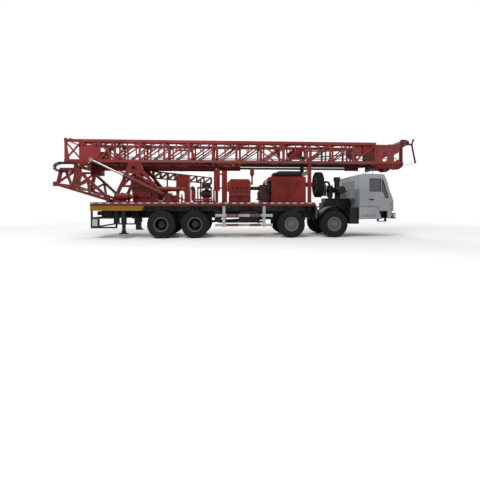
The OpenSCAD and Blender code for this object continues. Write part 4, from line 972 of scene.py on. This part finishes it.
shape = bmesh.new()
for k in range(4):
    y = -0.105 + 0.07 * k
    rope_run(shape, at(5.840, y, 3.790), at(10.430, y, 3.998), 0.05, LINE_RADIUS)
    rope_run(shape, at(5.790, y, 3.467), at(10.380, y, 4.020), 0.09, LINE_RADIUS)
piece("lines_to_travelling_block", shape, wire_rope, "mast_upper")

shape = bmesh.new()
for y, z in ((-0.400, 3.420), (-0.330, 3.395)):
    rope_run(shape, at(-2.900, y, z), at(10.260, y, z + 0.03), 0.07, 0.011, 30)
piece("tong_lines", shape, wire_rope, "mast_upper")

shape = bmesh.new()
rope_run(shape, at(10.445, -0.020, 3.170), at(11.235, -0.020, 3.290), 0.02, 0.009, 10)
piece("fork_stay", shape, wire_rope, "mast_upper")

# %% [markdown]
# Guy ropes are stowed along the lower chord. Each is held by clips on the
# chord and hangs a little between them, which draws the pale lines under the
# mast in the photograph.

# %% Guy ropes along the mast
MAST_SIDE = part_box("mast_sides")[1].y
GUY_STOPS = 6
GUY_PITCH = 2.05


def clip(shape, stop, low, high):
    """A small block round a line. Its corners are given as seen from the stop."""
    bar(shape, stop + Vector(low), stop + Vector(high), 0.003)


shape, clips = bmesh.new(), bmesh.new()
for _, out in SIDES:
    for row, z in enumerate((3.168, 3.212)):
        stops = [at(-1.2 + GUY_PITCH * k, out * (MAST_SIDE + 0.011), z) for k in range(GUY_STOPS)]
        for start, end in zip(stops, stops[1:]):
            rope_run(shape, start, end, 0.012 + 0.006 * row, 0.008, 8, 6)
    for k in range(GUY_STOPS):
        clip(clips, at(-1.2 + GUY_PITCH * k, out * MAST_SIDE, 3.19),
             (-0.02, -out * 0.004, -0.05), (0.02, out * 0.022, 0.05))
piece("stowed_guy_ropes", shape, wire_rope, "mast_lower")
piece("guy_rope_clips", clips, mast_red, "mast_lower")

# %% [markdown]
# Six hydraulic hoses come over the hinge, loop out behind the tail and run back
# along the truss. Hoses that were cut to one length never lie alike, so each
# loop is a little wider and lower than the last.

# %% Route of the hoses round the tail
HOSE = 0.030
HOSE_STEP = 0.033
FINE_STEPS = 12        # points on the curve between two spots of the route
HOSE_ROUTE = [(-3.290, 2.985), (-3.450, 3.052), (-3.620, 3.082), (-3.800, 3.094),
              (-3.980, 3.090), (-4.120, 3.066), (-4.235, 3.018), (-4.300, 2.945),
              (-4.302, 2.862), (-4.245, 2.800), (-4.140, 2.764), (-4.010, 2.752),
              (-3.880, 2.750), (-3.750, 2.752), (-3.640, 2.756)]


def smooth_route(spots, count):
    """Points at even steps on a Catmull-Rom curve through the given spots."""
    ends = [2 * spots[0] - spots[1]] + spots + [2 * spots[-1] - spots[-2]]
    fine = []
    for a, b, c, d in zip(ends, ends[1:], ends[2:], ends[3:]):
        for k in range(FINE_STEPS):
            t = k / FINE_STEPS
            fine.append(0.5 * (2 * b + (c - a) * t + (2 * a - 5 * b + 4 * c - d) * t * t
                               + (3 * b - a - 3 * c + d) * t ** 3))
    fine.append(spots[-1])
    lengths = [0.0]
    for near, far in zip(fine, fine[1:]):
        lengths.append(lengths[-1] + (far - near).length)
    picked, k = [], 0
    for step in range(count):
        want = lengths[-1] * step / (count - 1)
        while k < len(lengths) - 2 and lengths[k + 1] < want:
            k += 1
        part = (want - lengths[k]) / max(lengths[k + 1] - lengths[k], 1e-9)
        picked.append(fine[k].lerp(fine[k + 1], part))
    return picked, lengths[-1]


print("route of", len(HOSE_ROUTE), "spots")

# %% [markdown]
# The curve gets a round bevel as thick as the hose, and each end a swaged
# sleeve with a hexagon, as a hydraulic fitter would crimp it on.

# %% Hoses with their fittings
def hose_piece(name, spots, count=38):
    """A hose with a swaged fitting at each end. It gives back its real length."""
    route, length = smooth_route(spots, count)
    line = bpy.data.curves.new(name, "CURVE")
    line.dimensions = "3D"
    line.bevel_depth = HOSE / 2
    line.bevel_resolution = 4
    line.use_fill_caps = True
    spline = line.splines.new("POLY")
    spline.points.add(len(route) - 1)
    for point, spot in zip(spline.points, route):
        point.co = (*spot, 1.0)
    spline.use_smooth = True
    line.materials.append(hose_rubber)
    hose = bpy.data.objects.new(name, line)
    scene.collection.objects.link(hose)
    ends = bmesh.new()
    for tip, inner in ((route[0], route[1]), (route[-1], route[-2])):
        away = (tip - inner).normalized()
        rod(ends, tip - away * 0.070, tip + away * 0.010, HOSE * 0.62, 16)
        rod(ends, tip - away * 0.010, tip + away * 0.030, HOSE * 0.72, 6)
    fitting = piece(f"{name}_fittings", ends, bolt_steel)
    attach(hose, "root")
    return length


for number in range(6):
    row, layer = number % 3, number // 3
    shift = Vector((0.022 * row - 0.02 * layer, -0.885 - HOSE_STEP * (2 * layer + row % 2),
                    -HOSE_STEP * row - 0.012 * layer))
    spots = []
    for k, (x, z) in enumerate(HOSE_ROUTE):
        sway = 0.020 * math.sin(0.9 * k + number) * math.sin(math.pi * k / (len(HOSE_ROUTE) - 1))
        spots.append(at(x, 0, z) + shift + Vector((0, 0, sway)))
    length = hose_piece(f"tail_hose_{number + 1}", spots)
print("hoses about", round(length, 2), "m each")

# %% [markdown]
# Both ends of the hoses are bolted to manifold blocks on the truss, one beside
# the hinge and one on the top bar.

# %% Manifold blocks of the hoses
shape = bmesh.new()
bar(shape, at(-3.280, -0.990, 2.895), at(-3.225, -0.855, 3.010), 0.005)
bar(shape, at(-3.632, -0.990, 2.660), at(-3.580, -0.855, 2.775), 0.005)
bar(shape, at(-3.300, -0.885, 2.860), at(-3.240, -0.855, 2.935))
for x, z in ((-3.252, 2.915), (-3.252, 2.990), (-3.606, 2.680), (-3.606, 2.755)):
    bolt_heads(shape, [at(x, -0.990, z)], -1, 0.020, 0.008)
piece("hose_manifolds", shape, frame_red)

# %% [markdown]
# Under the mast the lines go on along its floor towards the crown. They lie
# side by side in clips: hoses behind, and from the end of the long cylinder a
# bundle of steel pipes and cables, drawn in black rubber. That black bundle is
# also painted shade: it makes the stretch under the mast look as dark as its shade.

# %% Hoses and pipes along the belly
BELLY_STOPS = 9
BELLY_PITCH = 0.65
PIPE_STOPS = 8
PIPE_PITCH = 0.81
PIPES = ((-0.530, 3.092, 0.024), (-0.470, 3.092, 0.024), (-0.410, 3.092, 0.020),
         (-0.355, 3.092, 0.020), (-0.500, 3.036, 0.028), (-0.430, 3.036, 0.022),
         (-0.375, 3.040, 0.016))


def held_line(shape, stops, dip, radius, sides=8):
    """A line that is held at each stop and hangs a little between them."""
    spots = stops[:1]
    for start, end in zip(stops, stops[1:]):
        spots += [start.lerp(end, 0.5) - Vector((0, 0, dip)), end]
    tube(shape, spots, radius, sides)


shape, clips = bmesh.new(), bmesh.new()
for row in range(4):
    stops = [at(-3.250 + BELLY_PITCH * k, -0.400 - 0.036 * row, 3.108) for k in range(BELLY_STOPS)]
    held_line(shape, stops, 0.010 + 0.004 * row, 0.014)
for k in range(BELLY_STOPS):
    clip(clips, at(-3.250 + BELLY_PITCH * k, -0.454, 3.108),
         (-0.015, -0.080, -0.018), (0.015, 0.080, 0.026))
piece("belly_hoses", shape, hose_rubber, "mast_lower")
piece("belly_hose_clips", clips, frame_black, "mast_lower")

# Painted shade besides lines: this black bundle darkens the stretch under the mast.
shape, clips = bmesh.new(), bmesh.new()
for row, (y, z, radius) in enumerate(PIPES):
    stops = [at(3.300 + PIPE_PITCH * k, y, z) for k in range(PIPE_STOPS)]
    held_line(shape, stops, 0.006 * (row % 3), radius, 10)
for k in range(PIPE_STOPS):
    clip(clips, at(3.300 + PIPE_PITCH * k, -0.450, 3.060),
         (-0.015, -0.115, -0.058), (0.015, 0.115, 0.074))
piece("mast_pipes_and_belly_shade", shape, hose_rubber, "mast_lower")
piece("mast_pipe_clamps", clips, frame_black, "mast_lower")

# %% [markdown]
# Small parts give the machinery its depth: black discs at the bottom of the
# bores of the gear case, painted shade for the dark inside of each bore, flanges
# and sleeves on the drive shaft, and a guard with grooves. A section with a
# repeated rib or groove comes back often, so a function lists it.

# %% Gear case and drive shaft
FLANGE = mirrored([(0.0755, -0.022), (0.120, -0.022)])
SLEEVE = mirrored([(0.0755, -0.180), (0.096, -0.180), (0.099, -0.172)])
GROOVE = [(0.078, 0.0), (0.072, 0.008), (0.072, 0.016), (0.078, 0.024)]


def repeated(rib, start, pitch, count):
    """The section of a rib, once for each pitch along the axle."""
    return [(radius, start + pitch * k + reach) for k in range(count) for radius, reach in rib]


# Painted shade: a black disc at the bottom of each bore of the gear case, and of the big bore
# below them.
shape = bmesh.new()
for k in range(4):
    for x, y, z, radius in ((2.890 + 0.190 * k, -0.9035, 2.050, 0.0385),
                            (2.870 + 0.200 * k, -0.8935, 1.752, 0.0285)):
        rod(shape, at(x, y, z), at(x, y - 0.012, z), radius, 20)
rod(shape, at(3.180, -0.8635, 1.640), at(3.180, -0.8755, 1.640), 0.058, 24)
piece("gear_case_bore_shade", shape, cast_black_and_bore_shade)

shape = bmesh.new()
for section, places in ((SLEEVE, (-0.020, 0.386)), (FLANGE, (-0.222, 0.183, 0.589))):
    for x in places:
        turned(shape, section, at(x, -0.440, 2.030), "X", 40)
piece("drive_sleeves", shape, machine_red)

shape = bmesh.new()
turned(shape, [(0.0455, 3.640), (0.070, 3.640), (0.078, 3.650)]
       + repeated(GROOVE, 3.665, 0.036, 8)
       + [(0.078, 3.965), (0.070, 3.975), (0.0455, 3.975)], at(0, -0.450, 2.070), "X", 40)
piece("drive_shaft_guard", shape, cast_black_and_bore_shade, crease=60.0)

# %% [markdown]
# Beside the pump stand pipes of different heights, each with flanges and a
# valve with a hand wheel. They are joined by a header near their feet.

# %% Pipes and valves beside the pump
PIPE_STANDS = ((0.330, 1.800), (0.470, 1.700), (0.610, 1.850), (0.740, 1.730))
STAND_FOOT = 1.461
HAND_WHEEL = mirrored([(0.042, -0.007), (0.056, -0.007)])

shape, wheels = bmesh.new(), bmesh.new()
for x, top in PIPE_STANDS:
    rod(shape, at(x, -0.700, STAND_FOOT), at(x, -0.700, top), 0.034)
    for z in (1.490, (STAND_FOOT + top) / 2, top - 0.012):
        rod(shape, at(x, -0.700, z), at(x, -0.700, z + 0.024), 0.056, 20)
    hub = at(x, -0.700, top + 0.060)
    rod(wheels, at(x, -0.700, top + 0.012), hub, 0.010, 8)
    turned(wheels, HAND_WHEEL, hub, "Z", 24)
    bar(wheels, hub + Vector((-0.045, -0.006, -0.005)), hub + Vector((0.045, 0.006, 0.005)), 0.002)
rod(shape, at(0.330, -0.700, 1.620), at(0.800, -0.700, 1.620), 0.030)
tube(shape, [at(0.740, -0.700, 1.560), at(0.800, -0.690, 1.560), at(0.838, -0.640, 1.560)],
     0.028, 12)
piece("pipe_stands", shape, machine_red)
piece("valve_wheels", wheels, cast_black_and_bore_shade)

shape = bmesh.new()
turned(shape, [(0.0422, 1.600), (0.0455, 1.600), (0.0455, 1.985), (0.0422, 1.985)],
       at(2.085, -0.700, 0), "Z", 32)
piece("stand_pipe_sleeve", shape, guard_white)

# %% [markdown]
# In front of the deck two cross tubes rest on bearers between the frame rails
# and the side, and an exhaust pipe of folded steel comes down beside them.

# %% Parts between the deck and the front wheels
FOLD = [(0.040, 0.0), (0.050, 0.005), (0.050, 0.009)]

shape = bmesh.new()
for z in (1.175, 1.330):
    rod(shape, at(6.400, -0.740, z), at(6.400, 0.740, z), 0.072, 28)
bar_pair(shape, at(6.305, 0.470, 1.101), at(6.495, 0.530, 1.420))
bar_pair(shape, at(6.060, 0.560, 1.101), at(6.240, 0.860, 1.440), 0.010)
bar_pair(shape, at(6.300, 0.760, 0.900), at(6.330, 1.060, 1.430), 0.006)
piece("front_deck_bearers", shape, frame_black)

shape = bmesh.new()
turned(shape, [(0.034, 0.800)] + repeated(FOLD, 0.800, 0.016, 30)
       + [(0.040, 1.282), (0.034, 1.282)], at(6.400, -1.000, 0), "Z", 24)
piece("exhaust_bellows", shape, wire_rope, crease=60.0)

# %% [markdown]
# Behind the cab stands a silencer in a ribbed wrap, with the turbo's pipes and
# filter beside it. Slats in a frame of thin rods cover the air intakes.

# %% Silencer and air intake behind the cab
WRAP_RIB = [(0.104, 0.0), (0.110, 0.006), (0.110, 0.026), (0.104, 0.032)]
SLATS = 8
SLAT_PITCH = 0.046

shape = bmesh.new()
turned(shape, [(0.060, 1.760)] + repeated(WRAP_RIB, 1.760, 0.040, 13)
       + [(0.104, 2.280), (0.060, 2.280)], at(7.060, 0.060, 0), "Z", 40)
piece("silencer_wrap", shape, guard_white, crease=60.0)

shape = bmesh.new()
rod(shape, at(7.300, -0.360, 2.010), at(7.300, 0.100, 2.010), 0.135, 32)
rod(shape, at(7.300, -0.140, 1.451), at(7.300, -0.140, 2.010), 0.060, 20)
tube(shape, [at(7.060, 0.060, 2.240), at(7.060, 0.060, 2.340), at(7.090, 0.045, 2.390),
             at(7.150, 0.000, 2.400), at(7.230, -0.060, 2.370), at(7.290, -0.110, 2.100)],
     0.050, 16)
piece("turbo_and_pipes", shape, heat_black)

shape = bmesh.new()
for k in range(SLATS):
    z = 1.700 + SLAT_PITCH * k
    bar_pair(shape, at(7.900, 0.560, z), at(8.120, 0.900, z + 0.024), 0.003)
for _, out in SIDES:
    for x, y in ((7.905, 0.565), (7.905, 0.895), (8.115, 0.895)):
        rod(shape, at(x, out * y, 1.690), at(x, out * y, 2.060), 0.010, 8)
piece("intake_slats", shape, guard_white)

# %% [markdown]
# Under the rear of the deck hang trays for tools, and the hoses that feed the
# outriggers swing down between them. They stay above the bay that is left free.

# %% Black parts under the rear of the deck
TRAY_TOP = 1.096
HOSE_TOP = 1.000
HOSE_POINTS = 10
OUTRIGGER_HOSES = ((-2.400, 0.830, -1.830), (-2.250, 0.812, -1.700), (-2.050, 0.822, -1.760))

shape = bmesh.new()
bar_pair(shape, at(-2.630, 0.560, 0.930), at(-2.040, 0.900, TRAY_TOP), 0.012)
bar_pair(shape, at(-2.030, 0.600, 0.860), at(-1.740, 0.860, TRAY_TOP), 0.012)
for x in (-1.250, -1.090):
    bar_pair(shape, at(x, 0.600, 0.780), at(x + 0.060, 0.860, TRAY_TOP), 0.008)
piece("rear_tool_trays", shape, frame_black)

shape = bmesh.new()
for _, out in SIDES:
    for k, (start, low, end) in enumerate(OUTRIGGER_HOSES):
        spots = []
        for step in range(HOSE_POINTS + 1):
            t = step / HOSE_POINTS
            spots.append(at(start + (end - start) * t, out * (0.880 - 0.030 * k),
                            HOSE_TOP - (HOSE_TOP - low) * math.sin(math.pi * t) ** 0.8))
        tube(shape, spots, 0.014)
piece("outrigger_hoses", shape, hose_rubber)

# %% [markdown]
# The fan pulley of the deck engine is a turned casting, bare black against the
# red. The frame has its body, and this is the ribbed wheel in front of it.

# %% Fan pulley
shape = bmesh.new()
PULLEY = at(4.440, 0, 2.040)
section = [(0.046, 0.722), (0.146, 0.642), (0.152, 0.652), (0.140, 0.672), (0.152, 0.692),
           (0.144, 0.710), (0.110, 0.709), (0.100, 0.686), (0.052, 0.686)]
turned(shape, [(radius, -reach) for radius, reach in section], PULLEY, "Y", 56)
bolt_heads(shape, ring_of(PULLEY + Vector((0, -0.712, 0)), 0.028, 4), -1, 0.016, 0.008)
piece("fan_pulley", shape, black_plastic_and_slot_shade)

# %% [markdown]
# The pump on the deck is driven by a black motor with cooling ribs. The ribs
# run along it, and a terminal box sits on its back. The frame has the plain
# drum, and this shell goes over it.

# %% Motor and box of the pump
MOTOR = at(1.765, -0.570, 1.820)
MOTOR_RIBS = 26
DRUM_HALF = Vector((0.180, 0, 0))
RIB_HALF = Vector((0.150, 0, 0))

shape = bmesh.new()
rod(shape, MOTOR - DRUM_HALF, MOTOR + DRUM_HALF, 0.153, 40)
for spot in ring_of(MOTOR, 0.156, MOTOR_RIBS, "X"):
    rod(shape, spot - RIB_HALF, spot + RIB_HALF, 0.007, 6)
for end in (-0.185, 0.170):
    rod(shape, MOTOR + Vector((end, 0, 0)), MOTOR + Vector((end + 0.018, 0, 0)), 0.166, 40)
bar(shape, at(1.700, -0.650, 1.960), at(1.860, -0.500, 2.030), 0.008)
piece("pump_motor", shape, black_plastic_and_slot_shade)

shape = bmesh.new()
bar(shape, at(1.577, -0.7235, 2.098), at(1.943, -0.3765, 2.293), 0.010)
bar(shape, at(1.610, -0.727, 2.130), at(1.910, -0.722, 2.260))
bolt_heads(shape, [at(x, -0.7235, z) for x in (1.592, 1.928) for z in (2.115, 2.276)],
           -1, 0.016, 0.006)
piece("control_box", shape, black_plastic_and_slot_shade)

shape = bmesh.new()
rod(shape, at(1.175, -0.600, 2.075), at(1.175, -0.420, 2.075), 0.074, 24)
for spot in ring_of(at(1.175, -0.605, 2.075), 0.055, 6):
    rod(shape, spot - Vector((0, 0.010, 0)), spot + Vector((0, 0.010, 0)), 0.012, 6)
bar(shape, at(1.085, -0.560, 2.012), at(1.265, -0.430, 2.028))
piece("relief_valve", shape, black_plastic_and_slot_shade)

# %% [markdown]
# Bolts say how a machine was put together. We set them where such a rig has
# them: round bearings, on foot plates, along covers and on the hinge plates.

# %% Bolts
FOOT_BOLTS = [(x, z) for x in (-1.29, -0.60) for z in (1.72, 1.87)]
FRAME_BOLTS = ((-1.36, 2.30), (-1.20, 2.42), (-0.70, 2.37), (-0.42, 1.95), (-0.34, 1.60))
GEAR_FACE = -0.951
GEAR_BOLTS = [(2.76 + 0.1 * k, 1.775) for k in range(9)]
GEAR_BOLTS += [(2.84 + 0.0975 * k, 2.395) for k in range(8)]
GEAR_BOLTS += [(x, 1.86 + 0.11 * k) for x in (2.742, 3.598) for k in range(5)]

shape = bmesh.new()
for _, out in SIDES:
    bolt_heads(shape, ring_of(at(-0.800, out * 0.545, 2.000), 0.315, 16), out)
    bolt_heads(shape, [at(x, out * 0.610, z) for x, z in FOOT_BOLTS], out, 0.028)
    bolt_heads(shape, [at(x, out * 0.530, z) for x, z in FRAME_BOLTS], out)
piece("drawworks_bolts", shape, bolt_steel)

shape = bmesh.new()
bolt_heads(shape, [at(x, GEAR_FACE, z) for x, z in GEAR_BOLTS], -1, 0.024, 0.010)
piece("gearbox_bolts", shape, bolt_steel)

shape = bmesh.new()
for _, out in SIDES:
    bolt_heads(shape, [at(x, out * 1.230, 1.340) for x in (2.490, 2.550, 4.130, 4.190)],
               out, 0.022, 0.008)
piece("guard_bolts", shape, bolt_steel)

shape = bmesh.new()
for _, out in SIDES:
    bolt_heads(shape, ring_of(at(-3.470, out * MAST_SIDE, 2.930), 0.115, 8, start=0.2), out, 0.026)
piece("hinge_plate_bolts", shape, bolt_steel, "mast_lower")

shape = bmesh.new()
for _, out in SIDES:
    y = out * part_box("crown")[1].y
    bolt_heads(shape, ring_of(at(10.500, y, 4.110), 0.075, 8), out, 0.024, 0.010)
    bolt_heads(shape, ring_of(at(9.980, y, 3.055), 0.065, 6), out, 0.022, 0.010)
piece("crown_bolts", shape, bolt_steel, "mast_upper")

# %% [markdown]
# Each leaf of the engine's enclosure has a folded edge, a pair of latches and
# a louvred panel, pressed from the sheet so that warm air can leave. A louvre
# is a low step in the sheet, so each is a thin bar that is half sunk into it.

# %% Latches and louvres of the enclosure
LEAF_FACE = -0.880
LOUVRES = 9
LOUVRE_PITCH = 0.032

for node, latch_side in (("enclosure_door_rear", 1), ("enclosure_door_front", -1)):
    low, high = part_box(node)
    edge_x = high.x if latch_side > 0 else low.x
    shape = bmesh.new()
    for z in (1.720, 2.250):
        middle = Vector((edge_x - latch_side * 0.055, LEAF_FACE, z))
        rod(shape, middle + Vector((0, 0.002, 0)), middle - Vector((0, 0.010, 0)), 0.028, 20)
        bar(shape, middle + Vector((-0.010, -0.024, -0.050)),
            middle + Vector((0.010, -0.008, 0.050)))
    piece(f"{node}_latches", shape, black_plastic_and_slot_shade, node)
    shape = bmesh.new()
    for k in range(LOUVRES):
        z = 2.120 + LOUVRE_PITCH * k
        bar(shape, Vector((low.x + 0.14, LEAF_FACE - 0.012, z)),
            Vector((high.x - 0.14, LEAF_FACE + 0.002, z + 0.012)), 0.005)
    piece(f"{node}_louvres", shape, machine_red, node)

# %% [markdown]
# Air lines, cables and their clips run along the frame rails of any truck. We
# draw three lines on each rail, held every 0.62 m.

# %% Lines on the rails
RAIL_FACE = 0.4475
RAIL_STOPS = 13
RAIL_PITCH = 0.62
RAIL_LINES = (1.040, 0.012), (1.006, 0.009), (0.978, 0.009)

shape, clips = bmesh.new(), bmesh.new()
for _, out in SIDES:
    for row, (z, radius) in enumerate(RAIL_LINES):
        stops = [at(-2.2 + RAIL_PITCH * k, out * RAIL_FACE, z) for k in range(RAIL_STOPS)]
        held_line(shape, stops, 0.010 + 0.003 * row, radius)
    for k in range(RAIL_STOPS):
        clip(clips, at(-2.2 + RAIL_PITCH * k, out * RAIL_FACE, 1.008),
             (-0.012, -0.018, -0.045), (0.012, 0.016, 0.048))
piece("rail_air_lines", shape, hose_rubber)
piece("rail_line_clips", clips, frame_black)

# %% [markdown]
# The stage is a pale floor that fades into a white backdrop. Far from the rig
# the floor turns to plain white for the camera alone, so no horizon shows and
# no extra light falls on the rig.

# %% Floor
FLOOR_HALF = 60.0
FADE_NEAR, FADE_FAR = 9.0, 18.0
WHITE = "#ffffff"


def seen_by(tree, *kinds):
    """One for rays of the kinds that are named, and zero for the rest."""
    rays = add(tree, "LightPath").outputs
    seen = rays[kinds[0]]
    for kind in kinds[1:]:
        seen = add(tree, "Math", {0: seen, 1: rays[kind]}, operation="MAXIMUM")
    return seen


shape = bmesh.new()
bmesh.ops.create_grid(shape, x_segments=1, y_segments=1, size=FLOOR_HALF)
floor_mesh = bpy.data.meshes.new("floor")
shape.to_mesh(floor_mesh)
shape.free()
floor = bpy.data.objects.new("floor", floor_mesh)
scene.collection.objects.link(floor)

floor_material, tree, where = new_material("pale_floor")
away = add(tree, "VectorMath", {0: where}, operation="LENGTH").outputs["Value"]
far = add(tree, "MapRange", {"Value": away, "From Min": FADE_NEAR, "From Max": FADE_FAR})
pale = add(tree, "BsdfPrincipled", {"Base Color": "#efeeec", "Roughness": 0.85,
                                    "Specular IOR Level": 0.2})
white = add(tree, "Emission", {"Color": WHITE, "Strength": 1.0})
seen = add(tree, "Math", {0: far, 1: seen_by(tree, "Is Camera Ray", "Is Glossy Ray")},
           operation="MULTIPLY")
faded = add(tree, "MixShader", {0: seen, 1: pale, 2: white})
add(tree, "OutputMaterial", {"Surface": faded})
floor.data.materials.append(floor_material)
print("floor made")

# %% [markdown]
# The sky lights the rig with a little more than half of white. The camera, and
# whatever mirrors the sky or lets it through, sees it plain white.

# %% Sky
SKY_LIGHT = 0.62

world = bpy.data.worlds.new("studio")
scene.world = world
world.use_nodes = True
tree = world.node_tree
tree.nodes.clear()
seen = seen_by(tree, "Is Camera Ray", "Is Glossy Ray", "Is Transmission Ray")
level = add(tree, "MapRange", {"Value": seen, "To Min": SKY_LIGHT})
sky = add(tree, "Background", {"Color": WHITE, "Strength": level})
add(tree, "OutputWorld", {"Surface": sky})
print("sky made")

# %% [markdown]
# Three large square lamps stand for an open sky: one high at the left of the
# camera, a weak one at its right, and one behind that draws the upper edges.

# %% Lights
def softbox(name, place, target, size, power):
    """A square area lamp that looks at a point."""
    lamp = bpy.data.lights.new(name, "AREA")
    lamp.shape = "SQUARE"
    lamp.size = size
    lamp.energy = power
    holder = bpy.data.objects.new(name, lamp)
    holder.location = place
    holder.rotation_mode = "QUATERNION"
    look = Vector(target) - Vector(place)
    holder.rotation_quaternion = look.to_track_quat("-Z", "Y")
    scene.collection.objects.link(holder)
    print(name, "lamp of", power, "W")


softbox("key", (-7.0, -13.0, 15.0), (0.5, 0.0, 1.5), 9.0, 2600)
softbox("fill", (14.0, -12.0, 8.0), (1.0, 0.0, 1.5), 8.0, 420)
softbox("back", (0.0, 15.0, 12.0), (0.0, 0.0, 2.0), 10.0, 1400)
